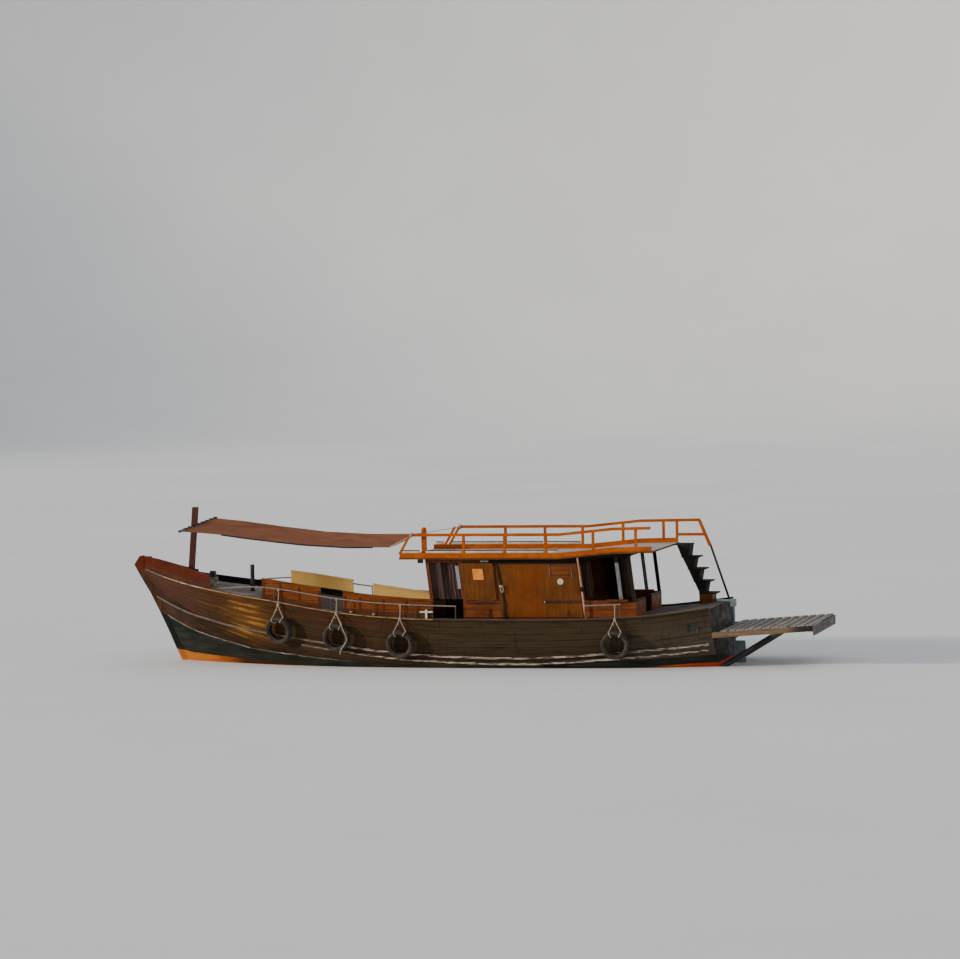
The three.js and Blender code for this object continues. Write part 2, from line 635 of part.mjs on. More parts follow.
// The big panel is cladding: it lies on the coaming and the sill, and ends under the roof
const bigPanel = { fore: -1836, aft: -3524, thick: 16, bottom: 1030, top: 2132 };
const hatch = { fore: -2960, aft: -3400, bottom: 1845, top: 2085, deep: 8 }; // its board lies deeper
for (const [side, sign] of sides) {
  const face = wallOuter + gap + bigPanel.thick;
  const blank = box(bigPanel.aft, bigPanel.fore, wallOuter + gap, face, bigPanel.bottom, bigPanel.top);
  const recess = box(hatch.aft, hatch.fore, face - hatch.deep, face + hatch.deep, hatch.bottom, hatch.top);
  addNode(`house_panel_${side}`, mirror(lean(cut(blank, recess), houseLean, coamingTop), sign), 'varnish');
}

for (const [side, sign] of sides) {
  const leaf = box(shutter.aft, shutter.fore, shutter.inner, shutter.inner + shutter.thick,
    shutter.bottom, shutter.top);
  const straps = hinge.places.map((z) => {
    const base = z + hinge.length + pinGap;
    return box(hinge.x, shutter.aft + 30, hinge.y - 4, hinge.y + 8, base + bury, base + hinge.length - bury);
  });
  const barrels = hinge.places.map((z) => barrel(z + hinge.length + pinGap));
  const whole = join(lean(join(leaf, ...straps), houseLean, coamingTop), ...barrels);
  addNode(`side_shutter_${side}`, mirror(whole, sign), 'varnish');
}

const curtain = { fore: -470, aft: -1050, y: 1225.7, wave: 11, folds: 7, thick: 8, top: 2180, bottom: 1380 };
const curtainCount = curtain.folds * 4;
const curtainLine = Array.from({ length: curtainCount + 1 }, (_, i) => new THREE.Vector2(
  curtain.aft + ((curtain.fore - curtain.aft) * i) / curtainCount,
  curtain.y + curtain.wave * Math.sin((2 * Math.PI * curtain.folds * i) / curtainCount),
));
for (const [side, sign] of sides) {
  const back = curtainLine.map((point) => new THREE.Vector2(point.x, point.y + curtain.thick)).reverse();
  const sheet = new THREE.ExtrudeGeometry(new THREE.Shape([...curtainLine, ...back]), {
    depth: curtain.top - curtain.bottom, bevelEnabled: false,
  }).translate(0, 0, curtain.bottom);
  addNode(`curtain_${side}`, mirror(lean(sheet, houseLean, coamingTop), sign), 'darkCloth');
}

const front = { x: -382, thick: 24, half: 1240, windowBottom: 1640, windowTop: 2020 };
const frontBlank = box(front.x - front.thick / 2, front.x + front.thick / 2, -front.half, front.half,
  sillTop - bury + gap, 2134);
const frontHoles = [[-1080, -420], [-300, 300], [420, 1080]].map(([y0, y1]) => box(
  front.x - 60, front.x + 60, y0, y1, front.windowBottom, front.windowTop,
));
const frontPanel = lean(cut(frontBlank, ...frontHoles), houseLean, coamingTop);
addNode('house_front', frontPanel, 'varnish');

// Helm

const helm = {
  consoleFore: -500, consoleAft: -760, half: 260, top: 1260, wheelX: -830, wheelZ: 1150, radius: 250,
};
addNode('helm_console', box(helm.consoleAft, helm.consoleFore, -helm.half, helm.half,
  soleZ + gap, helm.top), 'varnish');
const rimProfile = Array.from({ length: 7 }, (_, i) => new THREE.Vector2(
  helm.radius + 16 * Math.cos((Math.PI * 2 * i) / 6), 16 * Math.sin((Math.PI * 2 * (i % 6)) / 6),
));
rimProfile[6] = rimProfile[0].clone();
const rim = new THREE.LatheGeometry(rimProfile, 24).rotateZ(Math.PI / 2)
  .translate(helm.wheelX, 0, helm.wheelZ);
const spokes = Array.from({ length: 6 }, (_, i) => {
  const angle = (Math.PI * 2 * i) / 6;
  const reach = helm.radius + 90;
  return rod([helm.wheelX, 0, helm.wheelZ],
    [helm.wheelX, reach * Math.cos(angle), helm.wheelZ + reach * Math.sin(angle)], 11, 8);
});
const helmShaft = rod([helm.wheelX - 30, 0, helm.wheelZ], [helm.consoleAft - pinGap, 0, helm.wheelZ], 34, 12);
addNode('helm_wheel', join(rim, helmShaft, ...spokes), 'varnish');

// Roof, rack and what stands on it

const roofTop = (x) => roofUnder(x) + roofThickness;
const roof = loft([...roofLine].reverse().map(([x, z]) => [
  [x, -roofHalf, z], [x, roofHalf, z], [x, roofHalf, z + roofThickness], [x, -roofHalf, z + roofThickness],
]));
addNode('roof_deck', roof, 'cream');

const rack = { inner: 1335, outer: 1398, beamHeight: 95, railUp: 435, railHeight: 58, post: 52 };
function runAlongRoof(x0, x1, low, high, y0 = rack.inner, y1 = rack.outer) {
  const places = [x0, ...[-4200, -3100].filter((x) => x > x0 + 1 && x < x1 - 1), x1];
  const lineZ = (x) => roofTop(Math.max(x, -5020));
  return loft(places.map((x) => [
    [x, y0, lineZ(x) + low], [x, y1, lineZ(x) + low], [x, y1, lineZ(x) + high], [x, y0, lineZ(x) + high],
  ]));
}
function rackPost(x) {
  return box(x - rack.post / 2, x + rack.post / 2, rack.inner + 5, rack.outer - 5,
    roofTop(x) + rack.beamHeight - 10, roofTop(x) + rack.railUp + 10);
}
const rackMid = (rack.inner + rack.outer) / 2;
const railMid = rack.railUp + rack.railHeight / 2;
// A square member between two [x, z] points in the rack's plane
function brace([x0, z0], [x1, z1], width = 46) {
  const along = new THREE.Vector2(x1 - x0, z1 - z0).normalize().multiplyScalar(width / 2);
  return plate([[x0 - along.y, z0 + along.x], [x1 - along.y, z1 + along.x], [x1 + along.y, z1 - along.x],
    [x0 + along.y, z0 - along.x]], rackMid - width / 2, rackMid + width / 2);
}
// The starboard side reaches aft beyond the roof, over the stair: a lower rail and a sloping end
const rackEnd = { railAft: -5470, postX: -4985, lowZ: 2505, lowHeight: 58, lowAft: -5590, width: 60 };
const endHead = [rackEnd.railAft + 12, roofTop(-5020) + railMid];
const endFoot = [-5682, 2296];
// Rack sides. Columns: side, sign, rail fore x, rail aft x, post places, brace head places
const rackSides = [
  ['port', 1, 20, -4985, [-1100, -1960, -2820, -3800, -4680], [30]],
  ['starboard', -1, -300, rackEnd.railAft, [-1310, -2165, -2973, -3840, -4700, rackEnd.postX], [-310, -215]],
];
for (const [side, sign, railFore, railAft, posts, heads] of rackSides) {
  const beam = runAlongRoof(-5000, 250, gap, rack.beamHeight);
  const topRail = runAlongRoof(railAft, railFore, rack.railUp, rack.railUp + rack.railHeight);
  const braces = heads.map((x) => brace([x + 225, roofTop(x + 225) + rack.beamHeight - 20],
    [x, roofTop(x) + railMid]));
  const aftEnd = side === 'port' ? [] : [
    box(rackEnd.lowAft, rackEnd.postX, rack.inner + 5, rack.outer - 5,
      rackEnd.lowZ, rackEnd.lowZ + rackEnd.lowHeight),
    brace(endFoot, endHead, rackEnd.width),
  ];
  const whole = join(beam, topRail, ...braces, ...aftEnd, ...posts.map(rackPost));
  addNode(`roof_rack_${side}`, mirror(whole, sign), 'orange');
}

// The stay goes on from the sloping end down to the deck
const stay = { footX: -6100, footY: 1240, radius: 24 };
const endCutter = brace([endFoot[0], endFoot[1] - gap], endHead, rackEnd.width + 2 * gap);
const stayRod = rod([endFoot[0], rackMid, endFoot[1] + 40], [stay.footX, stay.footY, deckZ(stay.footX) - 20],
  stay.radius, 10);
addNode('stern_stay_starboard', mirror(cut(stayRod, endCutter, deckCutter), -1), 'black');

const lamp = { x: -235, y: 1240, width: 92, headRadius: 58, headZ: 2806, baseWidth: 130 };
const lampPiece = (width, low, high) => box(
  lamp.x - width / 2, lamp.x + width / 2, lamp.y - width / 2, lamp.y + width / 2, low, high,
);
const lampHead = new THREE.SphereGeometry(lamp.headRadius, 14, 8).rotateX(Math.PI / 2)
  .translate(lamp.x, lamp.y, lamp.headZ);
addNode('roof_lamp', join(
  lampPiece(lamp.baseWidth, roofTop(lamp.x) + 2 * gap, roofTop(lamp.x) + 16),
  lampPiece(lamp.width, roofTop(lamp.x) + 8, lamp.headZ - lamp.headRadius / 2),
  lampHead,
), 'orange');

// Stair on the starboard side: boxes that narrow downwards, the lowest tread on the locker
const stair = { y0: -1250, y1: -800, tread: 26, side: 3 };
// Columns: tread top z, box fore and aft x at the top, at the bottom, tread fore and aft x
const stairSteps = [
  [2369, -5085, -5366, -5184, -5330, -5020 - gap, -5372],
  [2112, -5192, -5474, -5316, -5421, -5180, -5551],
  [1864, -5318, -5589, -5428, -5545, -5306, -5673],
  [1610, -5438, -5711, -5549, -5668, -5426, -5794],
  [1362, 0, 0, 0, 0, -5535, -5905],
];
const stairPieces = stairSteps.flatMap(([top, fore, aft, lowFore, lowAft, treadFore, treadAft], i) => {
  const tread = box(treadAft, treadFore, stair.y0, stair.y1, top - stair.tread, top);
  if (i === stairSteps.length - 1) return [tread];
  const bottom = stairSteps[i + 1][0] - stair.side;
  const outline = [[fore, top - stair.side], [aft, top - stair.side], [lowAft, bottom], [lowFore, bottom]];
  return [tread, plate(outline, stair.y0 + stair.side, stair.y1 - stair.side)];
});
addNode('stair', join(...stairPieces), 'black');

const locker = { fore: -5545, aft: -5820, y0: -1250, y1: -800 };
const lockerTop = stairSteps[stairSteps.length - 1][0] - stair.tread - gap;
addNode('aft_locker', cut(box(locker.aft, locker.fore, locker.y0, locker.y1, 1000, lockerTop), deckCutter),
  'varnish');

// Stern platform on two beams and two struts, with its end board

const platform = {
  rootX: -6190, endX: -8250, rootZ: 608, rise: 0.072, beamY: 1250, beamWidth: 70, beamHeight: 115,
};
platform.slat = { half: 1290, width: 120, pitch: 176, thick: 28 };
const platformZ = (x) => platform.rootZ + (platform.rootX - x) * platform.rise;
const tilted = (geometry) => geometry.applyMatrix4(new THREE.Matrix4().set(
  1, 0, 0, 0, 0, 1, 0, 0, -platform.rise, 0, 1, platform.rise * platform.rootX + platform.rootZ, 0, 0, 0, 1,
));
const platformBeams = [-1, 1].map((sign) => box(platform.endX, platform.rootX,
  sign * platform.beamY - platform.beamWidth / 2, sign * platform.beamY + platform.beamWidth / 2,
  0, platform.beamHeight));
const slatCount = 11;
const slats = Array.from({ length: slatCount }, (_, i) => {
  const x = platform.endX + platform.slat.pitch * i;
  return box(x, x + platform.slat.width, -platform.slat.half, platform.slat.half,
    platform.beamHeight - 3, platform.beamHeight + platform.slat.thick);
});
const strut = { x: -7420, y: 850, rootZ: -86, radius: 56, cross: 80 };
const crossMember = box(strut.x - strut.cross / 2, strut.x + strut.cross / 2,
  -platform.slat.half, platform.slat.half, -strut.cross + 3, 3);
const struts = [-1, 1].map((sign) => rod([platform.rootX, sign * strut.y, strut.rootZ],
  [strut.x, sign * strut.y, platformZ(strut.x) - strut.cross / 2], strut.radius));
const stockWay = box(-6500, -6350, -70, 70, platform.rootZ, 1000); // the slat stops short of the rudder stock
const platformBody = join(...[...platformBeams, ...slats, crossMember].map(tilted), ...struts);
addNode('stern_platform', cut(platformBody, transomCutter, stockWay), 'greyWood');

const endBoard = { half: 1350, height: 186, thick: 36, below: 78 };
const endBoardBottom = platformZ(platform.endX) - endBoard.below;
addNode('platform_end_board', box(platform.endX - gap - endBoard.thick, platform.endX - gap,
  -endBoard.half, endBoard.half, endBoardBottom, endBoardBottom + endBoard.height), 'greyWood');

// Rudder with its bracket, and the propeller

const rudder = {
  x: -6405, stock: 30, bottom: aperture.bottom + pinGap, bladeTop: 450, bladeAft: -6650, thick: 44,
};
// Its head stands above the deck, with a tiller that reaches over the transom
const head = { top: 1300, half: 55, low: 1150, tillerFore: -6060, tillerZ: 1262, tillerRadius: 24 };
const bladeOutline = [[rudder.x + 22, -855], [rudder.x + 22, rudder.bladeTop],
  [rudder.bladeAft + 15, rudder.bladeTop],
  [rudder.bladeAft, 250], [rudder.bladeAft, -640], [rudder.bladeAft + 90, -855]];
addNode('rudder', join(
  rod([rudder.x, 0, rudder.bottom], [rudder.x, 0, head.top - 20], rudder.stock, 16),
  plate(bladeOutline, -rudder.thick / 2, rudder.thick / 2),
  box(rudder.x - head.half, rudder.x + head.half, -head.half, head.half, head.low, head.top),
  rod([rudder.x, 0, head.tillerZ], [head.tillerFore, 0, head.tillerZ + 8], head.tillerRadius, 10),
), 'steel');
const bracketBlank = box(rudder.x - 75, platform.rootX, -70, 70, 512, 546);
const bracketHole = rod([rudder.x, 0, 400], [rudder.x, 0, 650], rudder.stock + 3, 16);
addNode('rudder_bracket', cut(bracketBlank, bracketHole, transomCutter), 'black');

const propeller = { x: -5800, z: -600, hub: 44, hubHalf: 75, radius: 225, blades: 3, pitch: 0.6, thick: 14 };
const bladeShape = new THREE.Shape();
bladeShape.moveTo(-30, 20);
bladeShape.bezierCurveTo(-120, 90, -110, 215, 0, propeller.radius);
bladeShape.bezierCurveTo(100, 215, 95, 90, 30, 20);
const blades = Array.from({ length: propeller.blades }, (_, i) => new THREE.ExtrudeGeometry(bladeShape, {
  depth: propeller.thick, bevelEnabled: false, curveSegments: 6,
}).translate(0, 0, -propeller.thick / 2).rotateY(Math.PI / 2 - propeller.pitch)
  .rotateX((Math.PI * 2 * i) / propeller.blades).translate(propeller.x, 0, propeller.z));
addNode('propeller', join(
  rod([propeller.x - propeller.hubHalf, 0, propeller.z], [propeller.x + propeller.hubHalf, 0, propeller.z],
    propeller.hub, 14),
  rod([propeller.x, 0, propeller.z], [aperture.fore - pinGap, 0, propeller.z], 26, 12),
  ...blades,
), 'bronze');

export default boat;
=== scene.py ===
"""A decked wooden motor boat with a deckhouse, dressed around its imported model.
Metres, +X to the bow, +Y to port, +Z up from the waterline."""

import math
import random

import bmesh
import bpy
from mathutils import Matrix, Vector
from mathutils.bvhtree import BVHTree


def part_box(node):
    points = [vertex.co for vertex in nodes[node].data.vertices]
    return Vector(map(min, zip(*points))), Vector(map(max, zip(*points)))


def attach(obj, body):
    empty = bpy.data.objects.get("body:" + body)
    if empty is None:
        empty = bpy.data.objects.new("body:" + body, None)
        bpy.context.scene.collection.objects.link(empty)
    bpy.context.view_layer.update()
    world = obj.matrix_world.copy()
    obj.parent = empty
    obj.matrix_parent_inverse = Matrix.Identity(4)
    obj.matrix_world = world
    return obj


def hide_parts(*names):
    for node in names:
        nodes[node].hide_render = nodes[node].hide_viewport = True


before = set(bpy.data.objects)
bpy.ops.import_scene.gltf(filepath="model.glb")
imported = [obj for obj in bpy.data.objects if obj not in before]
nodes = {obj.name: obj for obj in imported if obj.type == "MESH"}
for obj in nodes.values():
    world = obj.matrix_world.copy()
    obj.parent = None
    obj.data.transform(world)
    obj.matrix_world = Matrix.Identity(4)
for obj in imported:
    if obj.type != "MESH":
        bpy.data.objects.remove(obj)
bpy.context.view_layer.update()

collection = bpy.context.scene.collection
SIDES = {"port": 1, "starboard": -1}


# Camera: a long lens off the port side, a little abaft the beam, rolled as the boat heels

FRAME_WIDTH, FRAME_HEIGHT = 960, 959
ORIGIN_PIXEL = (431.0, 660.8)
LENS, SENSOR = 144.0, 36.0
DISTANCE = 80.0
ABAFT, ABOVE, HEEL = (math.radians(angle) for angle in (15.0, 5.4, 4.4))


def make_camera():
    data = bpy.data.cameras.new("camera")
    data.lens, data.sensor_width = LENS, SENSOR
    data.clip_start, data.clip_end = 1.0, 600.0
    camera = bpy.data.objects.new("camera", data)
    collection.objects.link(camera)
    level = math.cos(ABOVE)
    place = DISTANCE * Vector((-math.sin(ABAFT) * level, math.cos(ABAFT) * level, math.sin(ABOVE)))
    forward = -place.normalized()
    right = forward.cross(Vector((0, -math.sin(HEEL), math.cos(HEEL)))).normalized()
    up = right.cross(forward)
    facing = Matrix((right, up, -forward)).transposed()
    focal = LENS / SENSOR * FRAME_WIDTH
    seen = Vector(((ORIGIN_PIXEL[0] - FRAME_WIDTH / 2) / focal,
                   (FRAME_HEIGHT / 2 - ORIGIN_PIXEL[1]) / focal, -1))
    aim = facing @ seen.rotation_difference(Vector((0, 0, -1))).to_matrix()
    camera.matrix_world = Matrix.Translation(place) @ aim.to_4x4()
    bpy.context.scene.camera = camera


make_camera()


# Reading the frame

skins = {}


def hit(name, start, towards):
    """Where a ray from start meets a CAD node."""
    if name not in skins:
        solid = bmesh.new()
        solid.from_mesh(nodes[name].data)
        skins[name] = BVHTree.FromBMesh(solid)
        solid.free()
    return skins[name].ray_cast(Vector(start), Vector(towards))[0]


def deck_z(x):
    """Height of the deck at its edge, clear of the cabin well."""
    return hit("hull", (x, 1.26 if x < -0.3 else 0.02, 4), (0, 0, -1)).z


def side_y(x, z):
    """Half breadth of the hull at a height."""
    return hit("hull", (x, 4, z), (0, -1, 0)).y


def edge_y(x):
    return side_y(x, deck_z(x) - 0.004)


# Places of the deckhouse and platform in the frame

LEAN = 0.115  # of the house's posts: metres forward for each metre up
COAMING_TOP = 1.33
HOUSE_SIDE = 1.30
PANEL_FACE = 1.3163
SHUTTER_FACE = 1.3333
SEAT = 0.0003  # between a piece and what carries it
PLATFORM_ROOT, PLATFORM_RISE = 0.608, 0.072  # height of its beams at x -6.19, and their climb per metre aft


# Materials: add() puts a node in the material that is being drawn, and the next functions draw patterns

drawn = {}


def linear(colour):
    """An sRGB hex colour as the linear RGBA that a socket holds."""
    shares = [int(colour[i:i + 2], 16) / 255 for i in (1, 3, 5)]
    return [s / 12.92 if s <= 0.04045 else ((s + 0.055) / 1.055) ** 2.4 for s in shares] + [1.0]


def add(kind, inputs=(), points=(), out=0, **settings):
    """One shader node, which gives one of its outputs. The kind may end in its operation, after a colon. An
    input is a number, a vector, a hex colour or another node's output."""
    tree = drawn["material"].node_tree
    kind, _, operation = kind.partition(":")
    node = tree.nodes.new("ShaderNode" + kind)
    if operation:
        node.operation = operation
    for name, value in settings.items():
        setattr(node, name, value)
    if points:
        curve = node.mapping.curves[0]
        while len(curve.points) < len(points):
            curve.points.new(0, 0)
        for point, place in zip(curve.points, points):
            point.location = place
        node.mapping.update()
    for name, value in inputs.items() if isinstance(inputs, dict) else enumerate(inputs):
        socket = node.inputs[name]
        if isinstance(value, bpy.types.NodeSocket):
            tree.links.new(value, socket)
        else:
            socket.default_value = linear(value) if isinstance(value, str) else value
    return node.outputs[out] if node.outputs else None


def begin(name, axes=""):
    """Starts a material. Gives the place on the object, in metres, and then its coordinate on each axis."""
    drawn["material"] = bpy.data.materials.new(name)
    drawn["material"].use_nodes = True
    drawn["material"].node_tree.nodes.clear()
    place = add("TexCoord", out="Object")
    return [place, *(add("SeparateXYZ", (place,), out=axis) for axis in axes)] if axes else place


def surface(colour, roughness, relief, strength=0.35, depth=0.002, **sockets):
    """The finish from its colour, roughness and the height of its relief, and constants by socket name."""
    bump = add("Bump", {"Height": relief, "Strength": strength, "Distance": depth})
    shader = add("BsdfPrincipled", {
        "Base Color": colour, "Roughness": roughness, "Normal": bump,
        **{name.replace("_", " "): value for name, value in sockets.items()}})
    add("OutputMaterial", {"Surface": shader})
    return drawn["material"]


def mottle(place, size, low=0.0, high=1.0, detail=4.0, start=0.35, end=0.65):
    """Soft patches from low to high, of a size in millimetres or one for each axis."""
    size = size if isinstance(size, tuple) else (size, size, size)
    shrunk = add("Mapping", {"Vector": place, "Scale": [1000 / mm for mm in size]})
    noise = add("TexNoise", {"Vector": shrunk, "Scale": 1.0, "Detail": detail, "Roughness": 0.6})
    return add("MapRange", (noise, start, end, low, high))


def seams(across, pitch, width):
    """Lines each pitch along a coordinate, 1 on the line and 0 off it, in metres."""
    off = add("Math:PINGPONG", (across, pitch / 2))
    return add("MapRange", (off, width * 0.25, width * 0.75, 1.0, 0.0))


def coats(base, *layers):
    """A colour under layers, each a colour and its covers, which are multiplied."""
    for colour, cover, *others in layers:
        for other in others:
            cover = add("Math:MULTIPLY", (cover, other))
        base = add("Mix", {0: cover, 6: base, 7: colour}, data_type="RGBA", out=2)
    return base


def band(value, low, high, soft):
    """1 where value lies from low to high, with soft ends."""
    return add("Math:MULTIPLY", (add("MapRange", (value, low - soft, low + soft)),
                                 add("MapRange", (value, high - soft, high + soft, 1.0, 0.0))))


LINE_LOW, LINE_HIGH = -1.0, 2.5


def along_hull(x, line):
    """Height at x of a painted line, from its (x, z) places."""
    first, last = line[0][0], line[-1][0]
    points = [((px - first) / (last - first), (pz - LINE_LOW) / (LINE_HIGH - LINE_LOW)) for px, pz in line]
    curve = add("FloatCurve", {"Value": add("MapRange", (x, first, last))}, points=points)
    return add("Math:MULTIPLY_ADD", (curve, LINE_HIGH - LINE_LOW, LINE_LOW))


def facing(axis, start, end):
    """1 on faces whose normal reaches end along an axis, and 0 below start."""
    share = add("SeparateXYZ", (add("NewGeometry", out="Normal"),), out=axis)
    return add("MapRange", (share, start, end))


def upward():
    return facing("Z", 0.6, 0.8)


def inward(place):
    """1 on faces that look towards the boat's middle line."""
    side = add("Math:SIGN", (add("SeparateXYZ", (place,), out="Y"),))
    normal_y = add("SeparateXYZ", (add("NewGeometry", out="Normal"),), out="Y")
    return add("MapRange", (add("Math:MULTIPLY", (normal_y, side)), -0.3, -0.6))


def timber(name, plain, pale, dark, along="X", grain=(900, 30), rough=(0.4, 0.65), coat=0.0, boards=None,
           inner=None, top=None, chipped=None, stretch=None, specular=0.06):
    """Wood with long streaks along one axis. Boards is (axis, pitch, seam) in millimetres. Inner and top
     are paint on the faces that look inboard and up, chipped is a bare colour where edges wear, and stretch
     is (colour, aft, fore, soft, least cover), a length of the boat with another tone or with painted shade."""
    place = begin(name)
    size = tuple(grain[0] if axis == along else grain[1] for axis in "XYZ")
    fine = tuple(grain[0] / 3 if axis == along else grain[1] / 4 for axis in "XYZ")
    height = mottle(place, fine, 0, 1, 6)
    layers = [(pale, mottle(place, size, 0, 0.8)), (dark, mottle(place, fine, 0, 0.7, 6, 0.5, 0.75)),
              (dark, mottle(place, 450, 0, 0.5, 3))]
    if stretch:
        colour, aft, fore, soft, least = stretch
        x = add("SeparateXYZ", (place,), out="X")
        layers.append((colour, band(x, aft, fore, soft), mottle(place, 380, least, 0.95, 3)))
    if boards:
        axis, pitch, width = boards
        across = add("SeparateXYZ", (place,), out=axis)
        line = seams(across, pitch / 1000, width / 1000)
        board = add("Math:FLOOR", (add("Math:MULTIPLY", (across, 1000 / pitch)),))
        layers += [(dark, add("TexWhiteNoise", {"W": board}, noise_dimensions="1D"), 0.4), ("#120c08", line)]
        height = add("Math:MULTIPLY_ADD", (line, -3.0, height))
    if inner:
        flaking = mottle(place, 60, 0, 1, 6, 0.66, 0.73)
        layers.append((inner, add("Math:SUBTRACT", (inward(place), flaking))))
    if top:
        layers.append((top, upward(), mottle(place, (400, 60, 60), 0.35, 0.95)))
    if chipped:
        layers.append((chipped, mottle(place, (160, 45, 45), 0, 0.85, 8, 0.6, 0.68)))
    return surface(coats(plain, *layers), mottle(place, 220, *rough), height,
                   Coat_Weight=coat, Coat_Roughness=0.25, Specular_IOR_Level=specular)


def paint(name, colour, bare, rust=None, rough=(0.4, 0.65), size=120, metallic=0.0, specular=0.5):
    """Brushed paint on metal or wood: faded patches, chips to what is bare, and rust that runs down."""
    place = begin(name)
    layers = [("#c9c4b8", mottle(place, size * 3, 0, 0.12, 3)),
              ("#0d0b09", mottle(place, size, 0, 0.3, 5)),
              (bare, mottle(place, size / 3, 0, 0.9, 8, 0.64, 0.7))]
    if rust:
        layers.append((rust, mottle(place, (size / 3, size / 3, size * 2), 0, 0.8, 6, 0.56, 0.7)))
    return surface(coats(colour, *layers), mottle(place, size, *rough), mottle(place, 25),
                   strength=0.25, depth=0.001, Metallic=metallic, Specular_IOR_Level=specular)


def cloth(name, colour, pale, dark, thread=6, folds_along="Z"):
    """Woven cloth from its UV map, in metres: threads each way, and colour that fades in long patches.
    Real threads of 0.5 mm are drawn at 5 to 14 mm so that they show."""
    place = begin(name)
    uv = add("TexCoord", out="UV")
    weave = [add("TexWave", {"Vector": uv, "Scale": 1000 / thread / 20, "Distortion": 0.4}, out=1,
                 bands_direction=direction) for direction in "XY"]
    height = add("Math:MAXIMUM", weave)
    long_patch = (500, 500, 120) if folds_along == "X" else (90, 90, 700)
    colours = coats(colour, (pale, mottle(place, long_patch, 0, 0.7)),
                    (dark, mottle(place, 300, 0, 0.45, 5, 0.5, 0.75)), (dark, height, 0.12))
    return surface(colours, 0.92, height, strength=0.3, depth=0.001, Specular_IOR_Level=0.1)


# Painted lines on the hull, as (x, z): the sheer plank's edge, the black paint, the boot-top and the foot
SHEER = [(-6.15, 1.2), (-5.5, 1.115), (-4.8, 1.035), (-3.5, 0.98), (-1.8, 0.97), (0, 1.0), (1.5, 1.11),
         (3, 1.34), (4.2, 1.505), (4.9, 1.62), (5.3, 1.7), (6.25, 1.94)]
BLACK_TOP = [(-6.2, 0.26), (-4.0, 0.14), (-1.5, 0.06), (0.5, 0.08), (1.45, 0.124), (2.5, 0.215), (3.5, 0.32),
             (4.25, 0.475), (4.86, 0.625), (5.56, 0.88), (6.25, 1.17)]
BOOT_TOP = [(-6.2, 0.09), (-5.2, 0.05), (-4.4, -0.04), (0.8, -0.04), (1.8, 0.015), (2.6, 0.05), (4.63, 0.15),
            (5.46, 0.23), (6.25, 0.4)]
PLANK_FOOT = [(-6.2, -0.1), (-3.5, -0.45), (0.5, -0.45), (2.5, -0.2), (4.2, 0.35), (5.4, 1.0), (6.25, 1.7)]
PLANKS = 11


def waterline_paint(place, x, z):
    """The covers of black paint, boot-top and weed at a place, and the boot-top's own colour."""
    ragged = mottle(place, (160, 160, 40), -0.006, 0.006, 6)
    level = add("Math:ADD", (z, ragged))
    below = add("Math:SUBTRACT", (level, along_hull(x, BLACK_TOP)))
    boot = add("Math:SUBTRACT", (level, along_hull(x, BOOT_TOP)))
    bow = add("MapRange", (x, 2.5, 4.8, 0.0, 0.9))
    quarter = add("MapRange", (x, -5.4, -5.8))
    boot_colour = coats("#bf6424", ("#a87025", bow, mottle(place, (260, 260, 70))),
                        ("#7c3322", mottle(place, (500, 500, 60), 0, 0.7, 6, 0.45, 0.7)),
                        ("#43210b", band(x, -5.0, 4.2, 0.4)), ("#b5391f", quarter, 0.8))
    return (below, add("MapRange", (below, 0.004, -0.004)), add("MapRange", (boot, 0.004, -0.004)),
            add("MapRange", (z, 0.012, -0.02)), boot_colour)


def antifouling(place):
    """Dull red bottom paint under green weed, which only shows from below the waterline."""
    return coats("#5a241c", ("#2e3a2a", mottle(place, 180, 0, 0.8, 6)))


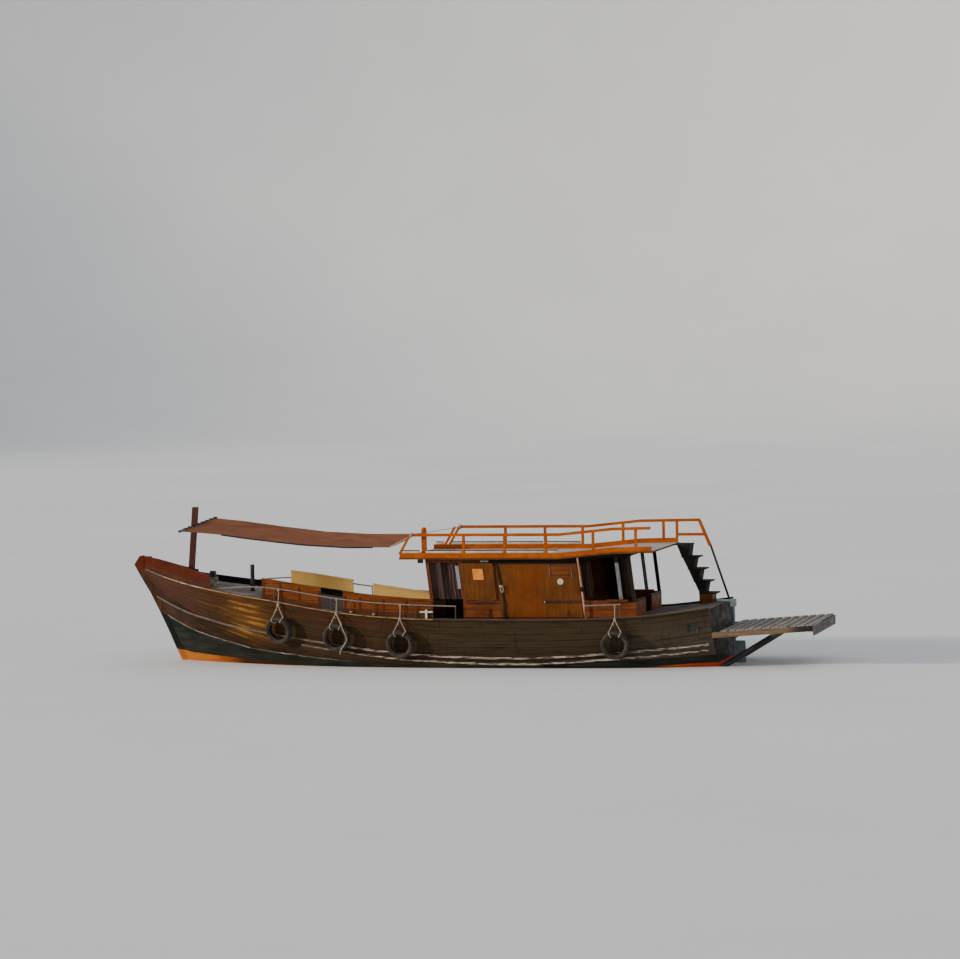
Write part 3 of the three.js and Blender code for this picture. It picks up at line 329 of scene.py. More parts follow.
def hull_planking():
    """Oiled hardwood planking, carvel laid: dark brown with a red sheer plank, a painted golden highlight and
    painted glints at the bow, dirty lower down, black paint below a pale line, an orange boot-top and red
    antifouling under water."""
    place, x, y, z = begin("oiled_hardwood_planking", "XYZ")
    sheer, foot = along_hull(x, SHEER), along_hull(x, PLANK_FOOT)
    girth = add("Math:DIVIDE", (add("Math:SUBTRACT", (z, foot)), add("Math:SUBTRACT", (sheer, foot))))
    run = add("Math:MULTIPLY", (girth, PLANKS))
    # A caulked seam is 5 mm wide; it is drawn at about 10 mm, and fades where it is filled
    seam = add("Math:MULTIPLY", (seams(run, 1.0, 0.09), mottle(place, (800, 800, 160), 0.1, 0.9)))
    shift = add("TexWhiteNoise", {"W": add("Math:FLOOR", (run,))}, noise_dimensions="1D")
    butt = seams(add("Math:MULTIPLY_ADD", (shift, 7.0, x)), 4.2, 0.010)
    streak = add("CombineXYZ", (x, 0.0, run))
    high = add("MapRange", (girth, 0.3, 0.6))
    # The stretch of the bow where a painted highlight lies; the planks are also a little glossier there
    painted_highlight_zone = band(x, 3.0, 4.5, 0.45)
    lit = add("Math:MULTIPLY", (painted_highlight_zone, band(girth, 0.27, 0.97, 0.05)))
    near = add("Math:MULTIPLY", (band(x, 3.0, 4.1, 0.3), add("MapRange", (girth, 0.95, 0.6, 0.45, 1.0))))
    glint = add("Math:MULTIPLY", (band(add("Math:FRACT", (run,)), 0.45, 0.95, 0.12),
                                  add("MapRange", (near, 0.0, 1.0, 0.3, 1.0))))
    glint = add("Math:MULTIPLY", (glint, lit))
    lower = add("MapRange", (girth, 0.62, 0.3))
    dusty = add("Math:MULTIPLY", (add("MapRange", (x, -3.9, -4.9, 0.0, 0.9)),
                                  add("MapRange", (girth, 0.9, 0.35, 0.2, 1.0))))
    wood = coats("#40301f",
                 ("#553a26", mottle(streak, (1500, 1000, 380), 0, 0.7)),
                 ("#423929", add("MapRange", (x, 0.2, -1.2, 0.0, 0.8))),
                 ("#512d1a", add("MapRange", (girth, 0.80, 0.88, 0.0, 0.5)), add("MapRange", (x, -0.4, 0.8))),
                 ("#573729", add("MapRange", (x, 4.3, 5.0, 0.0, 0.9))),
                 # Painted highlight at the bow: a warmer brown, stronger low and aft, and painted golden
                 # glints along the plank edges
                 ("#492c12", lit, 0.6), ("#6f4a20", near, lit),
                 ("#cf8f3e", glint, mottle(streak, (900, 1000, 900), 0, 0.9, 8, 0.46, 0.58)),
                 ("#1f150e", mottle(streak, (700, 1000, 260), 0, 0.7, 6, 0.5, 0.7)),
                 ("#2a2118", lower, mottle(place, (900, 300, 200), 0.3, 0.9, 5)),
                 ("#665b50", dusty, mottle(place, (700, 300, 120), 0.35, 0.9, 5)),
                 ("#1d1510", high, mottle(place, (70, 70, 900), 0, 0.4, 6, 0.55, 0.75)),
                 ("#1a1009", shift, 0.25), ("#0e0906", seam), ("#150d08", butt))
    below, black, boot, weed, boot_colour = waterline_paint(place, x, z)
    worn_line = add("Math:MULTIPLY", (add("MapRange", (x, 1.2, 2.4)),
                                      mottle(place, (300, 300, 60), 0.15, 0.9)))
    tar = coats("#171c18", ("#36362f", mottle(place, (600, 600, 90), 0, 0.8, 6)))
    # The deck's grey boards, painted darker aft of x 3.1 to 3.7: painted shade
    deck = coats("#b5aaa4", ("#d0c7c2", mottle(place, (900, 60, 60), 0, 0.8)),
                 ("#7b716a", mottle(place, 500, 0, 0.7, 5)),
                 ("#4e443c", add("MapRange", (x, 3.7, 3.1, 0.0, 0.8))), ("#2a2420", seams(y, 0.11, 0.012)))
    level = upward()
    colour = coats(wood, ("#121210", facing("X", -0.6, -0.8), mottle(place, 400, 0.8, 1.0)), (tar, black),
                   ("#a39c8a", band(below, -0.004, 0.016, 0.003), worn_line), (boot_colour, boot),
                   (antifouling(place), weed), (deck, level))
    relief = add("Math:SUBTRACT", (mottle(streak, (500, 1000, 120), 0, 0.6, 6),
                                   add("Math:MAXIMUM", (seam, butt))))
    gloss = add("Math:MULTIPLY_ADD", (painted_highlight_zone, -0.12, mottle(place, (600, 300, 160), 0.45, 0.7)))
    return surface(colour, add("Math:MAXIMUM", (gloss, add("Math:MULTIPLY", (level, 0.85)))), relief,
                   strength=0.5, depth=0.004, Specular_IOR_Level=0.07)


def stem_paint():
    """Hardwood stem and keel: red varnish at the head, brown oil below it, tar and boot-top lower down."""
    place, x, z = begin("varnished_and_tarred_hardwood_stem", "XZ")
    _, black, boot, weed, boot_colour = waterline_paint(place, x, z)
    wood = coats("#4a3122", ("#63452f", mottle(place, (90, 90, 500), 0, 0.8, 6)),
                 ("#2a1b12", mottle(place, (30, 30, 300), 0, 0.7, 6)),
                 ("#62230c", add("MapRange", (z, 1.90, 1.94, 0.0, 0.85))))
    tar = coats("#141a16", ("#2a2c26", mottle(place, (90, 90, 500), 0, 0.7, 6)))
    return surface(coats(wood, (tar, black), (boot_colour, boot), (antifouling(place), weed)),
                   mottle(place, 200, 0.5, 0.75), mottle(place, (30, 30, 240), 0, 1, 6),
                   Specular_IOR_Level=0.08)


def peeling_paint():
    """Off-white paint on hardwood rubbing strakes, scraped off in long flakes down to grey and brown grain;
    towards the bow only weathered grey wood is left."""
    place, x = begin("peeling_white_paint_on_hardwood", "X")
    bow = add("MapRange", (x, 0.9, 2.2))
    left = add("Math:MULTIPLY", (mottle(place, (300, 60, 18), 0, 1, 8, 0.49, 0.54),
                                 add("MapRange", (bow, 0.0, 1.0, 1.0, 0.12))))
    bare = coats("#4b3527", ("#64594c", bow, 0.8), ("#2f2019", mottle(place, (300, 40, 12), 0, 0.7, 6)))
    chalk = coats("#c4b5a6", ("#9c8f82", mottle(place, (250, 60, 40), 0, 0.8, 6)))
    return surface(coats(bare, (chalk, left)), 0.78, left, strength=0.6, depth=0.0015)


def sheer_paint():
    """Ochre gloss on the sheer moulding: dirty at the stem, cream by the bow and golden aft of it."""
    place, x = begin("ochre_gloss_on_sheer_moulding", "X")
    colour = coats("#a98548", ("#c2b596", band(x, 4.7, 5.6, 0.15)),
                   ("#6e6048", add("MapRange", (x, 5.6, 5.8))),
                   ("#4f3520", mottle(place, (180, 180, 40), 0, 0.85, 6, 0.45, 0.62)))
    return surface(colour, 0.5, mottle(place, 40), strength=0.2, depth=0.001)


def house_timber():
    """Varnished redwood posts and headers, painted black along the eaves as shade under the roof's overhang
    and painted near black low in the front doorway as its shade; black at the after corners; one leaning post
    keeps old grey paint and one is dull mauve."""
    place, x, z = begin("varnished_redwood_house_timber", "XZ")
    foot_x = add("Math:MULTIPLY_ADD", (add("Math:SUBTRACT", (z, COAMING_TOP)), -LEAN, x))
    above = band(z, 1.38, 2.13, 0.002)
    mauve, grey = (add("Math:MULTIPLY", (above, band(foot_x, aft, aft + 0.1, 0.002)))
                   for aft in (-0.69, -4.40))
    old_grey = coats("#85868c", ("#55514f", mottle(place, 80, 0, 0.7, 6)))
    wood = coats("#5d3220", ("#7a4529", mottle(place, (60, 60, 500), 0, 0.8)),
                 ("#2a1811", mottle(place, (30, 30, 300), 0, 0.75, 6, 0.5, 0.72)),
                 # Painted shade: black along the eaves under the roof's overhang
                 ("#14160f", add("MapRange", (z, 2.075, 2.10, 0.0, 0.96)),
                  add("MapRange", (x, -1.5, -1.65, 0.2, 1.0))),
                 ("#1d1916", add("MapRange", (foot_x, -4.45, -4.46, 0.0, 0.9))),
                 ("#4c3a38", mauve), (old_grey, grey),
                 # Painted shade: near black low in the front doorway
                 ("#12100e", add("MapRange", (z, 1.40, 1.39)),
                  add("MapRange", (foot_x, -1.06, -1.05, 0.0, 0.95))))
    return surface(wood, mottle(place, 200, 0.4, 0.65), mottle(place, (20, 20, 200), 0, 1, 6),
                   strength=0.3, depth=0.0015, Specular_IOR_Level=0.08)


def platform_timber():
    """Weathered hardwood: brown-grey slats, tan beams that turn black at their end, black struts."""
    place, x, y, z = begin("weathered_hardwood_platform", "XYZ")
    beam_top = add("Math:MULTIPLY_ADD", (x, -PLATFORM_RISE, PLATFORM_ROOT - PLATFORM_RISE * 6.19))
    over = add("Math:SUBTRACT", (z, beam_top))
    outer = add("MapRange", (add("Math:ABSOLUTE", (y,)), 1.205, 1.213))
    beams = add("Math:MULTIPLY", (outer, band(over, -0.004, 0.114, 0.002)))
    ends = add("Math:MULTIPLY", (beams, add("MapRange", (x, -7.7, -7.95))))
    tarred = add("Math:MAXIMUM", (add("MapRange", (over, -0.008, -0.016)), ends))
    slats = coats("#6f675e", ("#958d84", mottle(place, (60, 700, 60), 0, 0.8)),
                  ("#3a332d", mottle(place, (14, 230, 14), 0, 0.75, 6, 0.48, 0.7)))
    tan = coats("#5f4833", ("#7d644b", mottle(place, (600, 60, 40))))
    return surface(coats(slats, (tan, beams), ("#151413", tarred)), mottle(place, 200, 0.6, 0.85),
                   mottle(place, (14, 230, 14), 0, 1, 6))


RAIL_OUT, RAIL_THICK = 0.022, 0.034
RAIL_PLACES = {"aft": (-4.34, -4.0, -3.69), "fore": (-0.97, -0.4, 0.3, 1.0, 1.6, 2.1, 2.5, 2.9)}


def pipe_paint():
    """Old paint on galvanised pipe: chalky pinkish grey on the rail, worn to rust brown on its posts."""
    place, x, z = begin("chalked_paint_on_galvanised_pipe", "XZ")
    foot = along_hull(x, [
        (at, hit(f"handrail_{rail}_port", (at, edge_y(at) + RAIL_OUT, 4), (0, 0, -1)).z - RAIL_THICK)
        for rail, places in RAIL_PLACES.items() for at in places])
    posts = add("MapRange", (add("Math:SUBTRACT", (z, foot)), 0.004, -0.004, 0.0, 0.85))
    return surface(coats("#8f7d75", ("#5e544e", mottle(place, 70, 0, 0.5, 6)),
                         ("#6f4a3a", mottle(place, 25, 0, 0.7, 6, 0.56, 0.7)), ("#452d21", posts)),
                   mottle(place, 70, 0.5, 0.75), mottle(place, 25), strength=0.25, depth=0.001,
                   Specular_IOR_Level=0.2)


def tyre_rubber():
    """Vulcanised rubber, old and sun-bleached: dusty grey-brown with scuffs, darker in the grooves."""
    place = begin("sun_bleached_vulcanised_rubber")
    colour = coats("#2f2925", ("#51483f", mottle(place, 90, 0, 0.8, 6)),
                   ("#6c6156", mottle(place, 40, 0, 0.6, 8, 0.56, 0.7)))
    return surface(colour, mottle(place, 60, 0.75, 0.95), mottle(place, 12, 0, 1, 6),
                   strength=0.4, depth=0.0015, Specular_IOR_Level=0.15)


def fibre_rope():
    """Laid polypropylene rope, bleached cream: fuzzy, matt, darker where it is handled."""
    place = begin("laid_polypropylene_rope")
    colour = coats("#b3a48b", ("#7d6e57", mottle(place, 50, 0, 0.8, 6)),
                   ("#d2c6ae", mottle(place, 20, 0, 0.7, 4)))
    return surface(colour, 0.9, mottle(place, 3, 0, 1, 4), strength=0.5, depth=0.0008, Sheen_Weight=0.2)


def port_glass():
    """Old port glass, slightly green: it shows the dark behind it and a soft glint."""
    place = begin("green_port_glass")
    return surface(coats("#0d1512", ("#22332b", mottle(place, 60, 0, 0.6))), 0.1, mottle(place, 30),
                   strength=0.1, depth=0.0005, IOR=1.52)


def floor_paint():
    """Matt studio floor paint, pale and even."""
    place = begin("matt_studio_floor")
    return surface(coats("#f3f3f2", ("#eeeeee", mottle(place, 9000))), 0.95, mottle(place, 900),
                   strength=0.05, depth=0.001)


FINISH = {
    "planking": hull_planking(), "stem": stem_paint(), "peeling": peeling_paint(), "sheer": sheer_paint(),
    "house": house_timber(), "platform": platform_timber(), "rubber": tyre_rubber(), "rope": fibre_rope(),
    "glass": port_glass(), "pipe": pipe_paint(),
    # Varnished redwood cap, dark at its sides and greyed to lilac where feet wear its top
    "gunwale": timber("varnished_redwood_cap", "#4a2818", "#693a22", "#21140e", inner="#171b18",
                      top="#857f84", stretch=("#463826", -7.0, 0.0, 0.4, 0.75)),
    # Reddish varnish outside, black inside
    "bulwark": timber("red_varnish_on_bulwark_boards", "#551b07", "#65250c", "#280c05", inner="#101412",
                      top="#231814", rough=(0.35, 0.6)),
    # The same redwood as boards, yellow gloss paint on the inside
    "panel": timber("red_varnish_yellow_inside", "#7c3f18", "#985524", "#3e200c", inner="#ffcf78",
                    top="#2a1a12", boards=("Z", 172, 7), rough=(0.35, 0.6)),
    # Thin redwood strips, darker than the boards they cover, with fine upright streaks
    "batten": timber("dark_varnished_batten", "#57301b", "#6f4126", "#2a160d", along="Z", grain=(300, 20)),
    # Redwood of the coaming, in two wide strakes; forward of x -1.055 it is painted nearly black as shade in
    # the front doorway
    "coaming": timber("varnished_redwood_coaming", "#7e4322", "#9a582e", "#3c2010", boards=("Z", 234.4, 7),
                      stretch=("#0d0b0a", -1.055, 3.0, 0.004, 0.94)),
    # Dark red paint on a board, dull and streaked lengthwise
    "plinth": timber("dark_red_paint_on_plinth", "#4d2016", "#65301f", "#24100b"),
    # Marine plywood under satin varnish, orange-brown with long vertical figure
    "plywood": timber("satin_varnished_plywood", "#693b18", "#7f4d22", "#40230e", along="Z", grain=(700, 60),
                      rough=(0.35, 0.55), stretch=("#7c3c12", -2.7, -2.0, 0.25, 0.3)),
    # Orange enamel on sawn timber: chalked on top, chipped to brown at the corners
    "orange": timber("orange_enamel_on_sawn_timber", "#b2540f", "#c66c1c", "#7a350e", grain=(500, 40),
                     chipped="#6b3d22", rough=(0.45, 0.7)),
    # Bitumen-stained softwood: nearly black, dull
    "stair": timber("bitumen_stained_softwood", "#262320", "#403a33", "#120f0d", along="Y", grain=(500, 30),
                    rough=(0.6, 0.85)),
    # Hardwood gone silver-grey in the weather, with split grain
    "grey": timber("silvered_bare_hardwood", "#64605e", "#8a8684", "#353231", along="Y", grain=(700, 22),
                   rough=(0.7, 0.9)),
    # Bare scrubbed planks of the cabin sole
    "sole": timber("scrubbed_bare_planks", "#7a5c40", "#98795a", "#453223", boards=("Y", 120, 8),
                   rough=(0.65, 0.85)),
    # Oiled teak, smooth and glossy where hands polish it
    "helm": timber("oiled_teak_wheel", "#7b4a28", "#9c6234", "#3d2211", along="Y", grain=(150, 12), coat=0.4),
    # Dark brown mast with red showing at its head
    "mast": timber("brown_varnish_on_mast", "#57352b", "#73493c", "#2a1913", along="Z", grain=(600, 30),
                   chipped="#74311f"),
    # Bitumen paint on steel: black, faded in patches, rust brown where it is worn through
    "black": paint("black_bitumen_paint_on_steel", "#0f1311", "#2b2b29", "#3a261c", size=90, specular=0.3),
    # White gloss on wood, worn dull and chipped to grey-brown
    "white": paint("worn_white_gloss_on_wood", "#d8d2c8", "#7a6a5c", size=60),
    # Orange and cream coats that peel in strips along a brown pole
    "pole": timber("peeling_orange_and_cream_on_pole", "#bf8a5e", "#e2cdb2", "#8a4416", along="Z",
                   grain=(150, 40), chipped="#4e2812"),
    # Painted canvas over the roof boards: pale and matt on top, brown at the edges
    "roof": timber("painted_canvas_over_boards", "#6b3a1c", "#84502a", "#2c1a10", top="#cbc5cc",
                   rough=(0.7, 0.9)),
    # Grey enamel on sheet steel with small rust stains
    "lamp": paint("grey_enamel_on_sheet_steel", "#6f6f72", "#34342f", "#5f3b26", size=60),
    # Grey sailcloth, quite matt
    "sleeve": paint("grey_sailcloth_sleeve", "#77777b", "#4c4c50", size=60, rough=(0.8, 0.95)),
    # Grey-blue paint on steel plate, chipped to dark metal, with runs of rust
    "rudder": paint("grey_blue_paint_on_steel_plate", "#74858e", "#4a4c4d", "#6a3f28", size=200),
    # Bronze gone nearly black, with green in it
    "frame": paint("greenish_bronze_port_frame", "#262c20", "#3f3826", size=40, specular=0.15),
    # Cast bronze: warm metal, dull and green where verdigris covers it
    "bronze": paint("cast_bronze_under_verdigris", "#8a6c36", "#4f7a64", size=60, metallic=0.9,
                    rough=(0.3, 0.5)),
    # Green enamel on cast iron, darkened by oil and rusty at its chips
    "engine": paint("green_engine_enamel_on_cast_iron", "#3f4c44", "#24201c", "#5a3622", size=120),
    # Plain orange enamel that hardly shines
    "sign": paint("orange_sign_enamel", "#f79300", "#c0660e", size=90, specular=0.15),
    # Cream gloss on wood, chipped to brown
    "cream": paint("cream_gloss_on_batten", "#cfc3ac", "#7a6350", size=150),
    # Old tan gloss on thin bars, chipped to dark brown
    "tan": paint("old_tan_gloss_on_bars", "#7a5f48", "#4f3a2b", size=60, specular=0.15),
    # Cotton duck, faded by the sun in long patches from dark to pinkish brown
    "canvas": cloth("sun_faded_cotton_duck", "#845238", "#986347", "#613b29", thread=8, folds_along="X"),
    # The doubled hem, darker than the sheet: dark cloth painted nearly black, with painted shade along the
    # awning's edges
    "hem": cloth("dark_canvas_hem_with_painted_shade", "#2a211e", "#3f332e", "#15110f", thread=8, folds_along="X"),
    # Dark brown cotton, paler along the folds that the sun reaches
    "curtain": cloth("dark_brown_curtain_cotton", "#3a2a28", "#6e5552", "#120e0d", thread=5),
    # The same cotton painted nearly black: painted shade for the dark inside the house
    "painted_shade_curtain": cloth("curtain_cotton_in_painted_shade", "#241a17", "#41312c", "#0d0a09", thread=5),
    # Coarse unbleached lace, bluish white in the shade
    "lace": cloth("unbleached_cotton_lace", "#8d949b", "#c3ccd2", "#2f3134", thread=14),
}


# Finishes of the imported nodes

NODE_FINISH = {
    "keel": "stem", "stem_post": "stem", "bow_bitt": "black", "engine": "engine", "cabin_sole": "sole",
    "gunwale_*": "gunwale", "bow_bulwark_*": "bulwark", "bow_post": "mast", "house_coaming": "coaming",
    "house_frame": "house", "side_panel_fore_*": "panel", "side_panel_mid_*": "panel",
    "rub_strake_upper_*": "peeling", "rub_strake_lower_*": "peeling",
    "handrail_fore_*": "pipe", "handrail_aft_*": "pipe", "awning_spreader": "black", "deck_pillar": "black",
    "stern_stay_starboard": "black", "rudder_bracket": "black", "gunwale_cleat_*": "white",
    "house_panel_*": "plywood", "side_shutter_*": "plywood", "house_front": "plywood",
    "helm_console": "plywood", "aft_locker": "plywood", "helm_wheel": "helm", "roof_deck": "roof",
    "roof_rack_*": "orange", "roof_lamp": "orange", "stair": "stair", "stern_platform": "platform",
    "platform_end_board": "grey", "rudder": "rudder", "propeller": "bronze",
}


def dress_nodes():
    for pattern, finish in NODE_FINISH.items():
        names = [pattern.replace("*", side) for side in SIDES] if "*" in pattern else [pattern]
        for name in names:
            for slot in nodes[name].material_slots:
                slot.material = FINISH[finish]


dress_nodes()


# Making pieces

def slab(bm, low, high):
    """A box between two corners."""
    low, high = Vector(low), Vector(high)
    place = Matrix.Translation((low + high) / 2) @ Matrix.Diagonal((*(high - low), 1))
    return bmesh.ops.create_cube(bm, size=1, matrix=place)["verts"]


def aimed(place, towards):
    """A matrix that carries Z to a direction, at a place."""
    return Matrix.Translation(place) @ Vector(towards).to_track_quat("Z", "Y").to_matrix().to_4x4()


def rod(bm, start, end, radius, end_radius=None, sides=16):
    """A round bar, tapered where it has a second radius."""
    start, end = Vector(start), Vector(end)
    last = radius if end_radius is None else end_radius
    place = aimed((start + end) / 2, end - start)
    return bmesh.ops.create_cone(bm, cap_ends=True, segments=sides, radius1=radius, radius2=last,
                                 depth=(end - start).length, matrix=place)["verts"]


def ease(bm, verts, width, segments=2):
    """Rounds the edges of a block."""
    edges = list({edge for vert in verts for edge in vert.link_edges})
    bmesh.ops.bevel(bm, geom=edges, offset=width, affect="EDGES", segments=segments, profile=0.5, material=-1)


def keep(obj, body, slot, replaces):
    collection.objects.link(obj)
    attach(obj, body)
    if replaces:
        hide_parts(*replaces)
    return obj


def piece(name, bm, finish, slot, body="boat", replaces=(), crisp=0.6):
    """A finished piece from a bmesh; edges that turn more than crisp, in radians, stay sharp."""
    bmesh.ops.remove_doubles(bm, verts=bm.verts, dist=1e-5)
    bmesh.ops.recalc_face_normals(bm, faces=bm.faces)
    for face in bm.faces:
        face.smooth = True
    for edge in bm.edges:
        edge.smooth = len(edge.link_faces) == 2 and edge.calc_face_angle(0) < crisp
    mesh = bpy.data.meshes.new(name)
    bm.to_mesh(mesh)
    bm.free()
    mesh.materials.append(FINISH[finish])
    return keep(bpy.data.objects.new(name, mesh), body, slot, replaces)


def sampled(route, step):
    """Points a step apart on a smooth line through a route."""
    route = [Vector(point) for point in route]
    padded = [2 * route[0] - route[1], *route, 2 * route[-1] - route[-2]]
    dense = []
    for a, b, c, d in zip(padded, padded[1:], padded[2:], padded[3:]):
        count = max(1, round((c - b).length / step))
        for k in range(count):
            t = k / count
            dense.append(0.5 * (2 * b + (c - a) * t + (2 * a - 5 * b + 4 * c - d) * t * t
                                + (3 * b - a - 3 * c + d) * t ** 3))
    return dense + [route[-1]]


def outline_curve(name, points):
    """A closed flat curve that serves as a section."""
    data = bpy.data.curves.new(name, "CURVE")
    data.dimensions = "2D"
    spline = data.splines.new("POLY")
    spline.points.add(len(points) - 1)
    for point, (x, y) in zip(spline.points, points):
        point.co = (x, y, 0, 1)
    spline.use_cyclic_u = True
    section = bpy.data.objects.new(name, data)
    collection.objects.link(section)
    return section


def swept(name, routes, section_points, finish, slot, body="boat", step=0.05, lay=0.0, replaces=()):
    """A section led along routes, twisted once each lay, as one mesh piece."""
    section = outline_curve(name + "_section", section_points)
    data = bpy.data.curves.new(name, "CURVE")
    data.dimensions = "3D"
    data.bevel_mode, data.bevel_object, data.use_fill_caps = "OBJECT", section, True
    for route in routes:
        points = sampled(route, step)
        spline = data.splines.new("POLY")
        spline.points.add(len(points) - 1)
        for k, (point, place) in enumerate(zip(spline.points, points)):
            point.co = (*place, 1)
            point.tilt = 2 * math.pi * k * step / lay if lay else 0.0
    line = bpy.data.objects.new(name + "_line", data)
    collection.objects.link(line)
    view = bpy.context.evaluated_depsgraph_get()
    bm = bmesh.new()
    bm.from_mesh(bpy.data.meshes.new_from_object(line.evaluated_get(view)))
    bpy.data.objects.remove(line)
    bpy.data.objects.remove(section)
    return piece(name, bm, finish, slot, body, replaces, crisp=1.2)


def ring_points(count, radius):
    return [(radius * math.cos(2 * math.pi * k / count), radius * math.sin(2 * math.pi * k / count))
            for k in range(count)]


STRAND_POINTS = 12


def rope(name, routes, radius=0.009, body="boat", slot="tyre_rubber", replaces=()):
    """Laid rope of three strands."""
    lobed = [(x * swell, y * swell) for k, (x, y) in enumerate(ring_points(STRAND_POINTS, radius))
             for swell in (0.8 + 0.2 * math.cos(6 * math.pi * k / STRAND_POINTS),)]
    return swept(name, routes, lobed, "rope", slot, body, step=radius, lay=radius * 8, replaces=replaces)


def turns_round(centre, radius, turns, rise, along=(0, 0, 1), wander=0.0, seed=1):
    """A short helix, as a hitch on a rope or a post; wander makes it untidy."""
    stray = random.Random(seed)
    turn = Vector(along).to_track_quat("Z", "Y")
    points = []
    for k in range(10 * turns + 1):
        angle, out = 2 * math.pi * k / 10, radius + wander * stray.random()
        climb = rise * (k / (10 * turns) - 0.5) + wander * (stray.random() - 0.5)
        points.append(Vector(centre) + turn @ Vector((out * math.cos(angle), out * math.sin(angle), climb)))
    return points


# Hull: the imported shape, shaded smooth along its planks

def make_hull():
    bm = bmesh.new()
    bm.from_mesh(nodes["hull"].data)
    piece("planked_hull", bm, "planking", "hull_planks", replaces=["hull"], crisp=0.5)


# Sheer moulding under the gunwale cap, a cream bead low on the stem's face that is a painted highlight on its
# leading edge, the hook at its head, port holes

CAP_OUT = 0.038
PORT_HOLE = {"x": -5.82, "z": 0.80, "long": 0.20, "high": 0.17, "proud": 0.012, "buried": 0.03, "rim": 0.026,
             "sunk": 0.014, "corner": 0.035}
GLASS = Vector((0.066, 0.051, 0.002))
STEM_BEAD = {"low": 0.20, "high": 1.10, "radius": 0.018}
HOOK = {"back": 0.10, "half": 0.07, "foot": 0.03, "below_cap": 0.012}


def make_hull_trim():
    places = [-0.5 + 0.35 * k for k in range(20) if -0.5 + 0.35 * k < 6.16]
    hole, span = PORT_HOLE, 0.1
    x, z = hole["x"], hole["z"]
    across, up = hole["long"] / 2, hole["high"] / 2
    for side, sign in SIDES.items():
        route = [(x, sign * (edge_y(x) + CAP_OUT), deck_z(x) + 0.014) for x in places]
        swept(f"sheer_moulding_{side}", [route], ring_points(8, 0.011), "sheer", "red_brown_timber")
        outward = Vector((side_y(x - span, z) - side_y(x + span, z), sign * 2 * span,
                          side_y(x, z - span) - side_y(x, z + span)))
        place = aimed((x, sign * side_y(x, z), z), outward)
        bm = bmesh.new()
        slab(bm, (-across, -up, -hole["buried"]), (across, up, hole["proud"]))
        corners = [edge for edge in bm.edges if abs(edge.verts[0].co.z - edge.verts[1].co.z) > 0.01]
        bmesh.ops.bevel(bm, geom=corners, offset=hole["corner"], affect="EDGES", segments=5, profile=0.5,
                        material=-1)
        front = max(bm.faces, key=lambda face: face.calc_center_median().z)
        bmesh.ops.inset_region(bm, faces=[front], thickness=hole["rim"])
        bmesh.ops.translate(bm, verts=front.verts, vec=(0, 0, -hole["sunk"]))
        bmesh.ops.transform(bm, matrix=place, verts=bm.verts)
        piece(f"port_hole_frame_{side}", bm, "frame", "lamp_metal")
        bm = bmesh.new()
        ease(bm, slab(bm, -GLASS, GLASS), GLASS.z * 0.7, 1)
        bmesh.ops.transform(bm, matrix=place, verts=bm.verts)
        piece(f"port_hole_glass_{side}", bm, "glass", "lamp_metal")
    # A cream bead on the stem's leading edge: a painted highlight along it
    heights = [STEM_BEAD["low"] + (STEM_BEAD["high"] - STEM_BEAD["low"]) * k / 9 for k in range(10)]
    face = [hit("stem_post", (8, 0, height), (-1, 0, 0)) for height in heights]
    swept("stem_highlight_bead", [face], ring_points(8, STEM_BEAD["radius"]), "cream", "keel_timber")
    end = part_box("bow_bulwark_port")[1]
    fore = hit("stem_post", (end.x - 0.3, 0, end.z - 0.06), (1, 0, 0)).x
    bm = bmesh.new()
    ease(bm, slab(bm, (end.x - HOOK["back"], -HOOK["half"], deck_z(6.1) + HOOK["foot"]),
                  (fore + 0.004, HOOK["half"], end.z - HOOK["below_cap"])), 0.006)
    piece("stem_head_hook", bm, "bulwark", "keel_timber")


# Tyre fenders: worn car tyres on laid lanyards from the handrail

TYRE = {"outer": 0.290, "inner": 0.195, "half": 0.0825}
TREAD_STEPS, GROOVE = 96, 0.007
LEG_LEAN = 0.42  # radians round the tyre, from its top to each leg of its lanyard
RAIL_TURN = 0.022  # radius of a rope's turns round the handrail
LANYARD_END = ((0.01, 0.012, -0.02), (0.03, 0.018, -0.07), (0.022, 0.016, -0.12))
# The second tyre's lanyard has a long end, which hangs over the tyre's face
LONG_END = ((-0.20, 0.12, 0.22), (-0.27, 0.115, 0.04), (-0.26, 0.115, -0.05), (-0.12, 0.115, -0.24),
            (-0.10, 0.11, -0.33))


